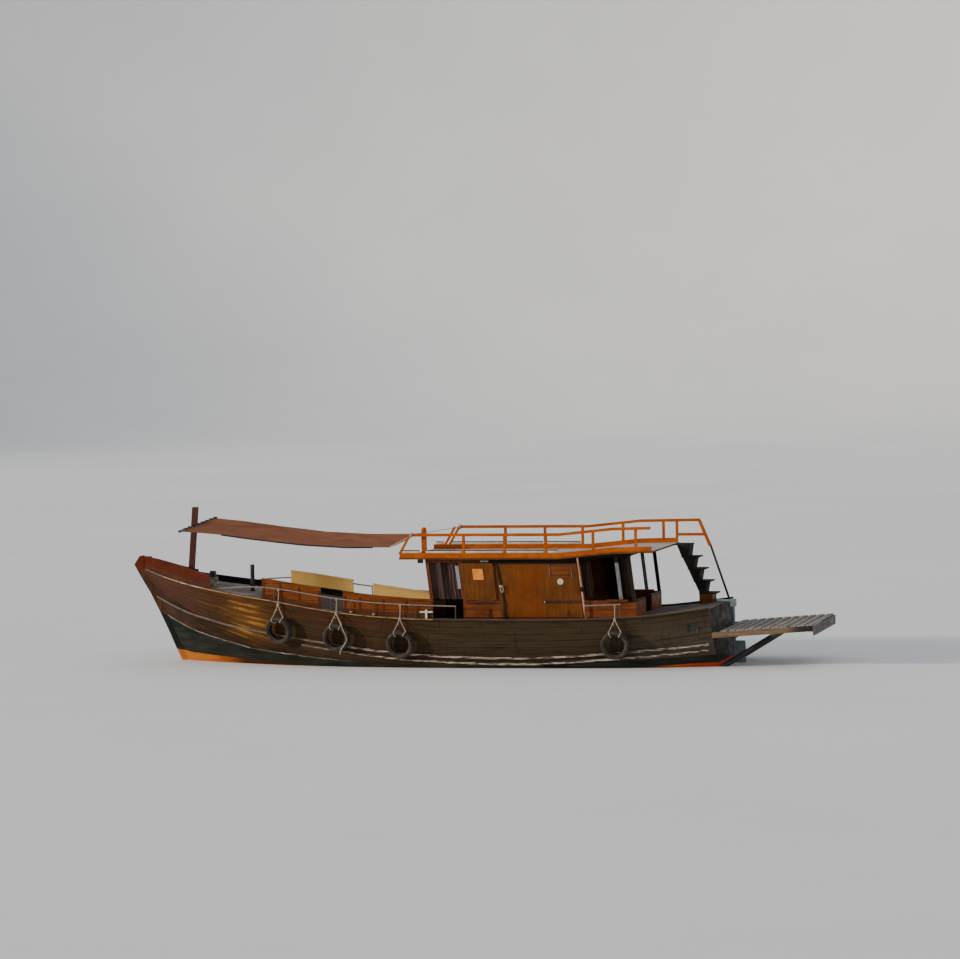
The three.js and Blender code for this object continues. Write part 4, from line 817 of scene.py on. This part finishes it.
def tyre_shell(bm, place):
    """A car tyre's hollow carcass, spun about Y: bead, wall, shoulder and grooved tread."""
    outer, inner, half = TYRE["outer"], TYRE["inner"], TYRE["half"]
    middle = (outer + inner) / 2
    lining = [(inner + 0.012, 0.60), (inner, 0.52), (inner, 0.40), (inner + 0.016, 0.42),
              (middle - 0.02, 0.80), (middle + 0.012, 0.86), (outer - 0.022, 0.62), (outer - 0.014, 0.0)]
    inside = [(radius, share * half) for radius, share in lining]
    wall = [(inner + 0.012, 0.60), (inner + 0.022, 0.80), (inner + 0.03, 0.86), (inner + 0.034, 0.90),
            (middle, 1.0), (middle + 0.014, 0.99), (outer - 0.032, 0.90), (outer - 0.016, 0.82),
            (outer - 0.004, 0.68), (outer, 0.50), (outer, 0.38), (outer - 0.008, 0.36), (outer - 0.008, 0.30),
            (outer, 0.28), (outer, 0.06), (outer - 0.008, 0.05), (outer - 0.008, 0.0)]
    tread = [(radius, share * half) for radius, share in wall]
    loop = tread + [(r, -w) for r, w in tread[-2::-1]] + [(r, -w) for r, w in inside[1:]] + inside[-2:0:-1]
    verts = [bm.verts.new((radius, width, 0)) for radius, width in loop]
    edges = [bm.edges.new((verts[k], verts[(k + 1) % len(verts)])) for k in range(len(verts))]
    bmesh.ops.spin(bm, geom=verts + edges, cent=(0, 0, 0), axis=(0, 1, 0), angle=2 * math.pi,
                   steps=TREAD_STEPS, use_merge=True)
    for vert in bm.verts:
        radius = math.hypot(vert.co.x, vert.co.z)
        step = round(math.atan2(vert.co.z, vert.co.x) / (2 * math.pi) * TREAD_STEPS) % 4
        if radius > outer - 0.02 and abs(vert.co.y) > 0.36 * half and step == 0:
            shrink = (radius - GROOVE) / radius
            vert.co.x *= shrink
            vert.co.z *= shrink
    bmesh.ops.transform(bm, matrix=place, verts=bm.verts)


def wrap_round(place, angle, turns=1, spread=0.022, clear=0.010):
    """A rope's turns round the tyre's own section, at an angle from its top."""
    outer, inner, half = TYRE["outer"], TYRE["inner"], TYRE["half"]
    middle, reach = (outer + inner) / 2, (outer - inner) / 2 + clear
    points = []
    steps = 12 * turns
    for k in range(steps + 1):
        around = 2 * math.pi * k / 12
        at = angle + (k / steps - 0.5) * spread * turns / middle
        radius = middle + reach * math.cos(around)
        points.append(place @ Vector((radius * math.sin(at), (half + clear) * math.sin(around),
                                      radius * math.cos(at))))
    return points


def make_fenders():
    outer, half = TYRE["outer"], TYRE["half"]
    for number in (1, 2, 3, 4):
        low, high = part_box(f"fender_{number}_port")
        x = (low.x + high.x) / 2
        z = low.z + outer
        tilt = math.atan2(side_y(x, z + outer) - side_y(x, z - outer), 2 * outer)
        turn = math.atan2(side_y(x + outer, z) - side_y(x - outer, z), 2 * outer)
        z = low.z + outer * math.cos(tilt) + half * 0.4 * abs(math.sin(tilt))
        turning = Matrix.Rotation(turn, 4, "Z") @ Matrix.Rotation(-tilt, 4, "X")
        centre = Vector((x, high.y - half * math.cos(tilt) - 0.25 * abs(math.sin(tilt)), z))
        place = Matrix.Translation(centre) @ turning
        rail = Vector((x, edge_y(x) + RAIL_OUT, high.z - 0.014))
        top = place @ Vector((0, 0, outer - 0.06))
        knot = (rail + top) / 2
        knot.y = max(knot.y, edge_y(x) + 0.058)
        legs = []
        for lean in (-LEG_LEAN, LEG_LEAN):
            loop = wrap_round(place, lean)
            legs.append([knot, (knot + loop[0]) / 2 + Vector((0, 0.012, 0)), *loop])
        tie = [rail - Vector((0, 0, 0.02)), (rail + knot) / 2, knot]
        loop = turns_round(rail, RAIL_TURN, 2, 0.03, (1, 0, 0))
        hitch = turns_round(knot, 0.018, 3, 0.05, wander=0.006, seed=number)
        lanyard = [loop, tie, hitch, *legs, [knot + Vector(spot) for spot in LANYARD_END]]
        if number == 2:
            lanyard.append([knot + Vector((0, 0.02, 0)), *(place @ Vector(spot) for spot in LONG_END)])
        for side, sign in SIDES.items():
            flip = Matrix.Diagonal((1, sign, 1, 1))
            name = f"fender_{number}_{side}"
            bm = bmesh.new()
            tyre_shell(bm, flip @ place)
            piece(f"tyre_{number}_{side}", bm, "rubber", "tyre_rubber", replaces=[name], crisp=0.9)
            routes = [[flip @ Vector(point) for point in route] for route in lanyard]
            rope(f"lanyard_{number}_{side}", routes, replaces=[name])


# Awning: one stretched sheet with doubled hems, laced to the spreader and lashed to the rack

AWNING_LINES = [
    (0.540, 1.080, 2.440, -0.880, 2.590), (1.500, 1.090, 2.440, -0.900, 2.590),
    (2.460, 1.100, 2.500, -0.920, 2.640), (3.500, 1.110, 2.620, -0.960, 2.760),
    (4.300, 1.130, 2.730, -1.040, 2.860), (5.028, 1.180, 2.788, -1.200, 2.922),
]
AWNING_SAG = 0.040
SCALLOP, SCALLOPS = 0.022, 6
AWNING_SIZE = {"length": 4.53, "middle": 2.10, "fore": 2.45}
AWNING_HEM = 0.05  # as a share of the width
AWNING_CLOTH = 0.003
SPREADER_PORT, SPREADER_STARBOARD = Vector((0, 1.22, 2.79)), Vector((0, -1.27, 2.93))
# The after corners: side, place across the sheet, x and y of the rack's post that each is lashed to
CORNERS = (("port", 0.01, 0.0, 1.3665), ("starboard", 0.99, -0.33, -1.3665))
LACING = {"first": 0.052, "pitch": 0.115, "count": 8, "radius": 0.031}


def awning_at(u, v, lift=0.0):
    """A place on the awning: u from aft to fore, v from the port edge to the starboard one."""
    span = u * (len(AWNING_LINES) - 1)
    row = min(int(span), len(AWNING_LINES) - 2)
    t = span - row
    ease_in = t * t * (3 - 2 * t) * 0.3 + t * 0.7
    x, port_y, port_z, star_y, star_z = [a + (b - a) * ease_in
                                         for a, b in zip(AWNING_LINES[row], AWNING_LINES[row + 1])]
    pull = SCALLOP * abs(math.sin(math.pi * SCALLOPS * u)) * (1 - 2 * v)
    y = port_y + v * (star_y - port_y) - pull
    sag = AWNING_SAG * 4 * v * (1 - v) * min(1, 6 * (1 - u))
    crease = 0.006 * math.sin(9 * math.pi * u + 5 * v) * math.sin(math.pi * v)
    return Vector((x, y, port_z + v * (star_z - port_z) - sag + 0.004 + crease + lift))


def sheet_grid(name, columns, rows, place_at, finish, slot, size, replaces=()):
    """A sheet from a grid whose points are set by place_at(u, v), with a UV map in metres."""
    bm = bmesh.new()
    bmesh.ops.create_grid(bm, x_segments=columns, y_segments=rows, size=0.5)
    uv = bm.loops.layers.uv.new("uv")
    for face in bm.faces:
        for loop in face.loops:
            loop[uv].uv = ((loop.vert.co.x + 0.5) * size[0], (loop.vert.co.y + 0.5) * size[1])
    for vert in bm.verts:
        vert.co = place_at(vert.co.x + 0.5, vert.co.y + 0.5)
    area = sum(face.calc_area() for face in bm.faces)
    return piece(name, bm, finish, slot, replaces=replaces, crisp=2.0), area


def thicken(obj, thickness):
    solid = obj.modifiers.new("thickness", "SOLIDIFY")
    solid.thickness, solid.offset = thickness, 0.0


def make_awning():
    length = AWNING_SIZE["length"]
    awning, area = sheet_grid("awning_sheet", 72, 16, awning_at, "canvas", "awning_canvas",
                              (length, AWNING_SIZE["middle"]), ["awning"])
    thicken(awning, AWNING_CLOTH)
    # The hems are painted nearly black: painted shade along the sheet's edges
    for side, v, inset in (("port", 0.0, AWNING_HEM), ("starboard", 1.0, -AWNING_HEM)):
        hem, _ = sheet_grid(f"awning_hem_{side}", 72, 2, lambda a, b: awning_at(a, v + inset * b, -0.006),
                            "hem", "awning_canvas", (length, 0.1))
        thicken(hem, AWNING_CLOTH)
    bolt = [awning_at(0.08 + 0.02 * k, 0.0, -0.008) for k in range(35)]
    swept("awning_bolt_rope", [bolt], ring_points(8, 0.015), "hem", "awning_canvas")
    for side, v, x, y in CORNERS:
        top = hit(f"roof_rack_{side}", (x, y, 4), (0, 0, -1))
        post = top - Vector((0, 0, 0.029))
        corner = awning_at(0.004, v)
        lashing = [[corner, (corner + post) / 2 - Vector((0, 0, 0.01)), post],
                   turns_round(post, 0.047, 2, 0.05, (1, 0, 0))]
        rope(f"awning_lashing_aft_{side}", lashing, slot="awning_canvas")
    low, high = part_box("awning_spreader")
    along = Vector(((low.x + high.x) / 2, 0, 0))
    port, starboard = SPREADER_PORT + along, SPREADER_STARBOARD + along
    laced = [starboard.lerp(port, LACING["first"] + LACING["pitch"] * k) for k in range(LACING["count"])]
    routes = [turns_round(place, LACING["radius"], 2, 0.03, (0, 1, 0)) for place in laced]
    swept("awning_lacing", routes, ring_points(8, 0.006), "hem", "awning_canvas", step=0.01)
    sleeve = bmesh.new()
    rod(sleeve, port.lerp(starboard, 0.15), port.lerp(starboard, 0.004), 0.0245, 0.030)
    piece("spreader_sleeve", sleeve, "sleeve", "black_steel")


# Curtains in the forward bay, and in the aft one drawn back to port and closed to starboard. Columns: name,
# sides, aft x, fore x, middle y, depth and number of the folds, low z, high z, finish, replaced node

CURTAINS = [
    ("front_curtain", ["port"], -1.048, -0.385, 1.229, 0.012, 10, 1.385, 2.175, "curtain", "curtain"),
    ("front_curtain", ["starboard"], -1.06, -0.385, 1.229, 0.012, 10, 1.21, 2.175, "curtain", "curtain"),
    ("lace_drop", ["port"], -1.035, -0.965, 1.2515, 0.004, 3, 1.60, 2.07, "lace", None),
    # The aft bay's curtains take the nearly black finish, which is painted shade for the dark inside the
    # house
    ("aft_curtain_aft", ["port"], -4.565, -4.42, 1.225, 0.016, 3, 1.42, 2.23, "painted_shade_curtain", None),
    ("aft_curtain_fore", ["port"], -3.80, -3.61, 1.225, 0.016, 4, 1.42, 2.17, "painted_shade_curtain", None),
    ("aft_curtain_closed", ["starboard"], -4.05, -3.56, 1.225, 0.012, 7, 1.21, 2.19, "painted_shade_curtain", None),
]
CURTAIN_CLOTH = 0.002


def leaned(x, z):
    return x + LEAN * (z - COAMING_TOP)


def make_curtains():
    for name, sides, aft, fore, middle, depth, folds, low, high, finish, node in CURTAINS:
        for side in sides:
            def place_at(u, v):
                phase = 2 * math.pi * folds * (u + 0.015 * math.sin(3 * math.pi * v + 6 * u))
                deep = depth * (0.65 + 0.35 * math.sin(5 * u + 1)) * (0.75 + 0.25 * (1 - v))
                z = low + v * (high - low)
                y = SIDES[side] * (middle + deep * math.sin(phase))
                return Vector((leaned(aft + u * (fore - aft), z), y, z))
            height = high - low
            width = sum((place_at((k + 1) / 200, 0.5) - place_at(k / 200, 0.5)).length for k in range(200))
            replaced = [f"{node}_{side}"] if node else ()
            curtain, area = sheet_grid(f"{name}_{side}", folds * 12, 14, place_at, finish, "curtain_cloth",
                                       (width, height), replaced)
            thicken(curtain, CURTAIN_CLOTH)


# Deckhouse trim in bars. Columns: aft, fore, inner y, outer y, low z, high z; those above the coaming lean

HOUSE_BARS = {
    ("house_ledges", "batten", "varnished_board", "boat"): [
        (-3.54, -2.75, PANEL_FACE, 1.352, 1.332, 1.356), (-1.79, -1.12, HOUSE_SIDE, 1.326, 1.306, 1.328),
        (-1.635, -1.585, HOUSE_SIDE, 1.318, 0.99, 1.193), (-3.29, -3.24, HOUSE_SIDE, 1.318, 0.99, 1.175)],
    ("house_plinth", "plinth", "varnished_board", "boat"): [
        (-4.40, -1.10, HOUSE_SIDE, 1.314, 0.985, 1.030)],
    ("hatch_board", "coaming", "varnished_board", "boat"): [
        (-3.385, -2.965, PANEL_FACE - 0.008, PANEL_FACE - 0.003, 1.850, 2.080),
        (-3.378, -2.972, PANEL_FACE - 0.0025, PANEL_FACE + 0.004, 1.905, 1.925),
        (-3.378, -2.972, PANEL_FACE - 0.0025, PANEL_FACE + 0.004, 1.995, 2.015)],
    ("hatch_bars", "tan", "white_paint", "boat"): [
        (-2.957, -2.937, PANEL_FACE, 1.326, 1.834, 2.088), (-3.410, -3.390, PANEL_FACE, 1.326, 1.834, 2.088)],
    # A dark seam in the cladding, and a black strip along the big ledge that is painted shade
    ("dark_seams", "black", "black_steel", "boat"): [
        (-2.735, -2.725, HOUSE_SIDE, 1.3015, 0.99, 1.318), (-3.54, -2.75, PANEL_FACE, 1.322, 1.357, 1.372)],
    # A near-black strip along the eaves over the big panel: painted shade under the roof's overhang
    ("header_strip", "stair", "varnished_board", "boat"): [
        (-3.522, -1.84, PANEL_FACE, 1.3205, 2.104, 2.1315)],
    ("shutter_rails", "plywood", "varnished_board", "shutter"): [
        (-1.775, -1.735, SHUTTER_FACE, 1.3383, 1.385, 2.115),
        (-1.16, -1.12, SHUTTER_FACE, 1.3383, 1.385, 2.115),
        (-1.734, -1.161, SHUTTER_FACE, 1.3383, 1.385, 1.425),
        (-1.734, -1.161, SHUTTER_FACE, 1.3383, 2.075, 2.115)],
    ("blank_sign", "sign", "orange_paint", "shutter"): [
        (-1.56, -1.34, SHUTTER_FACE, 1.343, 1.79, 2.015)],
    ("eaves_lamp", "lamp", "lamp_metal", "boat"): [
        (-1.70, -1.53, HOUSE_SIDE, 1.345, 2.152, 2.194)],
    ("bay_shelf", "plywood", "varnished_board", "boat"): [
        (-4.49, -4.07, HOUSE_SIDE, 1.36, 1.345, 1.390)],
}
DISC = {"x": -3.098, "z": 1.751, "radius": 0.064}
KNOB = {"x": -2.775, "z": 1.344, "inner": 1.352, "outer": 1.378, "radius": 0.012}
PANEL_POST = {"foot": (-1.93, 1.3275, 1.315), "head": (-1.772, 1.3275, 2.108), "low": 0.99, "half": 0.011,
              "wide": 0.021, "low_wide": 0.029}
HANK_LOOP = ((-0.01, 0.030, 0.01), (-0.045, 0.034, -0.03), (-0.05, 0.032, -0.09), (-0.02, 0.03, -0.12),
             (0.0, 0.032, -0.07), (-0.005, 0.03, 0.0))
SIDE_POLE = {"foot_x": -3.622, "head_x": -3.468, "head_z": 2.2475, "y": 1.366, "wrap_x": -3.55,
             "wrap_z": 1.60}
FLOODLIGHT = {"x": -0.145, "y": 1.235, "half": Vector((0.052, 0.045, 0)), "low": 2.125, "high": 2.198,
              "roof": 2.208}


def make_house_bars(side):
    for (name, finish, slot, body), bars in HOUSE_BARS.items():
        bm = bmesh.new()
        for aft, fore, inner, outer, low, high in bars:
            verts = slab(bm, (aft, inner + SEAT, low), (fore, outer, high))
            if low > COAMING_TOP:
                for vert in verts:
                    vert.co.x = leaned(vert.co.x, vert.co.z)
            ease(bm, verts, min(0.003, (outer - inner) / 4), 1)
        bmesh.ops.transform(bm, matrix=Matrix.Diagonal((1, SIDES[side], 1, 1)), verts=bm.verts)
        piece(f"{name}_{side}", bm, finish, slot, body=f"{body}_{side}" if body == "shutter" else body)


def make_cream_disc(side):
    sign = SIDES[side]
    bm = bmesh.new()
    spot = (DISC["x"], sign * PANEL_FACE, DISC["z"])
    radius = DISC["radius"]
    for width, low, high in ((radius, SEAT, 0.009), (radius * 0.2, 0.0085, 0.016)):
        verts = rod(bm, (0, 0, low), (0, 0, high), width, width * 0.93, 40)
        bmesh.ops.transform(bm, matrix=aimed(spot, (0, sign, 0)), verts=verts)
    rod(bm, (KNOB["x"], sign * KNOB["inner"], KNOB["z"]), (KNOB["x"], sign * KNOB["outer"], KNOB["z"]),
        KNOB["radius"])
    piece(f"cream_disc_{side}", bm, "cream", "white_paint")


def make_panel_post(side):
    """A leaning post on a shorter foot, with a hank of rope tied to it."""
    flip = Matrix.Diagonal((1, SIDES[side], 1, 1))
    foot, head = (Vector(PANEL_POST[end]) for end in ("foot", "head"))
    half, wide, low_wide = PANEL_POST["half"], PANEL_POST["wide"], PANEL_POST["low_wide"]
    bm = bmesh.new()
    verts = slab(bm, (-wide, -half, 0), (wide, half, head.z - foot.z))
    for vert in verts:
        vert.co.x += (head.x - foot.x) * vert.co.z / (head.z - foot.z)
    bmesh.ops.translate(bm, verts=verts, vec=foot)
    ease(bm, verts, 0.004, 1)
    verts = slab(bm, (foot.x - low_wide, HOUSE_SIDE + SEAT, PANEL_POST["low"]),
                 (foot.x + low_wide, foot.y + half, foot.z - SEAT))
    ease(bm, verts, 0.004, 1)
    bmesh.ops.transform(bm, matrix=flip, verts=bm.verts)
    piece(f"panel_post_{side}", bm, "stair", "varnished_board")
    tie = foot.lerp(head, 0.43)
    hank = turns_round(tie + Vector((0, 0.004, 0)), 0.034, 3, 0.05, wander=0.006, seed=9)
    loop = [tie + Vector(spot) for spot in HANK_LOOP]
    rope(f"panel_rope_{side}", [[flip @ point for point in route] for route in (hank, loop)],
         slot="varnished_board")


def make_floodlight(side):
    x, y, half = FLOODLIGHT["x"], SIDES[side] * FLOODLIGHT["y"], FLOODLIGHT["half"]
    bm = bmesh.new()
    rod(bm, (x, y, FLOODLIGHT["roof"]), (x, y, FLOODLIGHT["high"] - 0.01), 0.012)
    verts = slab(bm, Vector((x, y, FLOODLIGHT["low"])) - half, Vector((x, y, FLOODLIGHT["high"])) + half)
    ease(bm, verts, 0.012, 3)
    piece(f"floodlight_{side}", bm, "black", "lamp_metal")


def make_side_pole(side):
    y = SIDES[side] * SIDE_POLE["y"]
    foot = Vector((SIDE_POLE["foot_x"], y, deck_z(SIDE_POLE["foot_x"]) + 0.0005))
    head = Vector((SIDE_POLE["head_x"], y, SIDE_POLE["head_z"]))
    bm = bmesh.new()
    rod(bm, foot, head, 0.019, 0.017, 14)
    piece(f"side_pole_{side}", bm, "pole", "white_paint")
    wrap = (SIDE_POLE["wrap_x"], y, SIDE_POLE["wrap_z"])
    swept(f"pole_whipping_{side}", [turns_round(wrap, 0.024, 7, 0.10, head - foot)], ring_points(8, 0.006),
          "hem", "white_paint", step=0.01)


def make_house_trim():
    for side in SIDES:
        make_house_bars(side)
        make_cream_disc(side)
        make_panel_post(side)
        make_floodlight(side)
        make_side_pole(side)


# Bow: an untidy rope winding on the bitt, and lashings at the foot of two rail posts

BITT = {"x": 4.72, "half": 0.055, "low": 1.635, "high": 1.755, "turns": 7}
HEAP = {"middle": (4.50, 0.58), "rise": 0.085, "radius": 0.07, "turns": 4, "high": 0.08, "wander": 0.04}
LASHED_POSTS, LASHED_HEIGHT = (0.76, 1.25), 0.063


def make_bow():
    stray = random.Random(5)
    points = []
    steps = BITT["turns"] * 8
    for k in range(steps + 1):
        angle = 2 * math.pi * k / 8 + math.pi / 4
        reach = BITT["half"] + 0.016 + 0.02 * stray.random()
        reach *= min(1 / max(abs(math.cos(angle)), abs(math.sin(angle))), 1.3)
        height = BITT["low"] + (BITT["high"] - BITT["low"]) * k / steps + 0.016 * stray.random()
        points.append((BITT["x"] + reach * math.cos(angle), reach * math.sin(angle), height))
    x, y = HEAP["middle"]
    heap = turns_round((x, y, deck_z(x) + HEAP["rise"]), HEAP["radius"], HEAP["turns"], HEAP["high"],
                       wander=HEAP["wander"], seed=8)
    rope("bitt_turns", [points, heap], 0.013, slot="keel_timber")
    for side, sign in SIDES.items():
        feet = [(x, sign * (edge_y(x) + RAIL_OUT), deck_z(x) + LASHED_HEIGHT) for x in LASHED_POSTS]
        routes = [turns_round(foot, 0.019, 3, 0.028, wander=0.004, seed=3) for foot in feet]
        rope(f"post_lashings_{side}", routes, 0.006)


# Roof: a cream strip on the rack's beam between what stands there, with a red-brown bead along its top

EDGE_STRIP = {"aft": -3.08, "fore": 0.22, "inner": 1.346, "outer": 1.387, "low": 2.3403, "high": 2.384}
STEP, CLEAR = 0.01, 0.012
BEAD = 0.0105


def free_runs(side):
    """Stretches of a rack beam that carry no post or brace, as pairs of aft and fore x."""
    strip, runs, start = EDGE_STRIP, [], None
    height = (strip["low"] + strip["high"]) / 2
    above = (f"roof_rack_{side}", "roof_lamp")
    for k in range(round((strip["fore"] - strip["aft"]) / STEP) + 1):
        x = strip["aft"] + STEP * k
        from_inside, outwards = (x, SIDES[side] * 1.2, height), (0, SIDES[side], 0)
        free = x < strip["fore"] - STEP / 2 and not any(hit(name, from_inside, outwards) for name in above)
        if free and start is None:
            start = x
        elif not free and start is not None:
            runs.append((start + CLEAR, x - STEP - CLEAR))
            start = None
    return [(aft, fore) for aft, fore in runs if fore - aft > 0.1]


def make_roof_trim():
    strip = EDGE_STRIP
    for side, sign in SIDES.items():
        runs = free_runs(side)
        bm = bmesh.new()
        for aft, fore in runs:
            verts = slab(bm, (aft, strip["inner"], strip["low"]), (fore, strip["outer"], strip["high"]))
            ease(bm, verts, 0.005)
        bmesh.ops.transform(bm, matrix=Matrix.Diagonal((1, sign, 1, 1)), verts=bm.verts)
        piece(f"roof_edge_strip_{side}", bm, "cream", "roof_cover")
        y, z = sign * (strip["inner"] + strip["outer"]) / 2, strip["high"] + BEAD - 0.002
        routes = [[(x, y, z) for x in (aft, (aft + fore) / 2, fore)] for aft, fore in runs]
        swept(f"roof_edge_bead_{side}", routes, ring_points(10, BEAD), "plinth", "roof_cover")


# Side panel stiles, on the toe rail. Columns: side, panel, the places of the stiles, their height

STILES = [
    ("port", "fore", (1.965, 2.40, 2.82, 3.20), 0.40),
    ("port", "mid", (-0.46, 0.07, 0.57, 1.07, 1.39), 0.385),
    ("starboard", "fore", (2.105, 2.53, 2.95, 3.34), 0.36),
    ("starboard", "mid", (-0.46, 0.07, 0.57, 1.07, 1.60), 0.23),
]
STILE = {"half": 0.02, "inset": 0.020, "thick": 0.013, "foot": 0.133}


def make_panel_trim():
    for side, name, places, high in STILES:
        sign = SIDES[side]
        bm = bmesh.new()
        for x in places:
            y = edge_y(x) - STILE["inset"]
            verts = slab(bm, (x - STILE["half"], sign * (y + 0.0005), deck_z(x) + STILE["foot"]),
                         (x + STILE["half"], sign * (y + STILE["thick"]), deck_z(x) + high))
            ease(bm, verts, 0.003, 1)
        piece(f"panel_stiles_{name}_{side}", bm, "batten", "panel_boards")


# Stern: brackets that hold the platform's end board

BRACKET = {"outer": 1.285, "inner": 1.215, "thick": 0.008, "reach": 0.11, "under": 0.078}


def make_stern():
    low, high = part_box("platform_end_board")
    beam = low.z + BRACKET["under"]
    plate = (BRACKET["thick"], low.z + 0.012, beam - 0.001)
    arm = (BRACKET["reach"], beam - 0.009, beam - 0.001)
    for side, sign in SIDES.items():
        bm = bmesh.new()
        for reach, foot, head in (plate, arm):
            verts = slab(bm, (high.x + 0.0006, sign * BRACKET["outer"], foot),
                         (high.x + reach, sign * BRACKET["inner"], head))
            ease(bm, verts, 0.002, 1)
        piece(f"end_board_bracket_{side}", bm, "black", "black_steel")


make_hull()
make_hull_trim()
make_fenders()
make_awning()
make_curtains()
make_house_trim()
make_bow()
make_roof_trim()
make_panel_trim()
make_stern()


# Studio: a pale round floor at the waterline that curves up far off, a soft low sun and an even sky

FLOOR = {"reach": 122.0, "rise": 27.0, "steps": 12}
SUN = {"strength": 3.0, "size": 6, "colour": (1.0, 0.90, 0.76), "off_beam": 62, "height": 15}
SKY = {"colour": "#e4e9f0", "strength": 0.68}


def make_studio():
    bm = bmesh.new()
    profile = [(0.0, 0.0), (20.0, 0.0), (60.0, 0.0)]
    profile += [(FLOOR["reach"] + FLOOR["rise"] * math.sin(angle), FLOOR["rise"] * (1 - math.cos(angle)))
                for angle in (math.pi / 2 * k / FLOOR["steps"] for k in range(FLOOR["steps"] + 1))]
    verts = [bm.verts.new((radius, 0, height)) for radius, height in profile]
    edges = [bm.edges.new(pair) for pair in zip(verts, verts[1:])]
    bmesh.ops.spin(bm, geom=verts + edges, cent=(0, 0, 0), axis=(0, 0, 1), angle=2 * math.pi, steps=96,
                   use_merge=True)
    bmesh.ops.remove_doubles(bm, verts=bm.verts, dist=1e-4)
    for face in bm.faces:
        face.smooth = True
    mesh = bpy.data.meshes.new("floor")
    bm.to_mesh(mesh)
    bm.free()
    mesh.materials.append(floor_paint())
    floor = bpy.data.objects.new("floor", mesh)
    collection.objects.link(floor)

    sun = bpy.data.lights.new("sun", "SUN")
    sun.energy, sun.angle, sun.color = SUN["strength"], math.radians(SUN["size"]), SUN["colour"]
    lamp = bpy.data.objects.new("sun", sun)
    off_beam, height = math.radians(SUN["off_beam"]), math.radians(SUN["height"])
    source = Vector((math.sin(off_beam) * math.cos(height), math.cos(off_beam) * math.cos(height),
                     math.sin(height)))
    lamp.rotation_euler = source.to_track_quat("Z", "Y").to_euler()
    collection.objects.link(lamp)

    world = bpy.data.worlds.new("sky")
    world.use_nodes = True
    sky = world.node_tree.nodes["Background"]
    sky.inputs["Color"].default_value = linear(SKY["colour"])
    sky.inputs["Strength"].default_value = SKY["strength"]
    bpy.context.scene.world = world


make_studio()
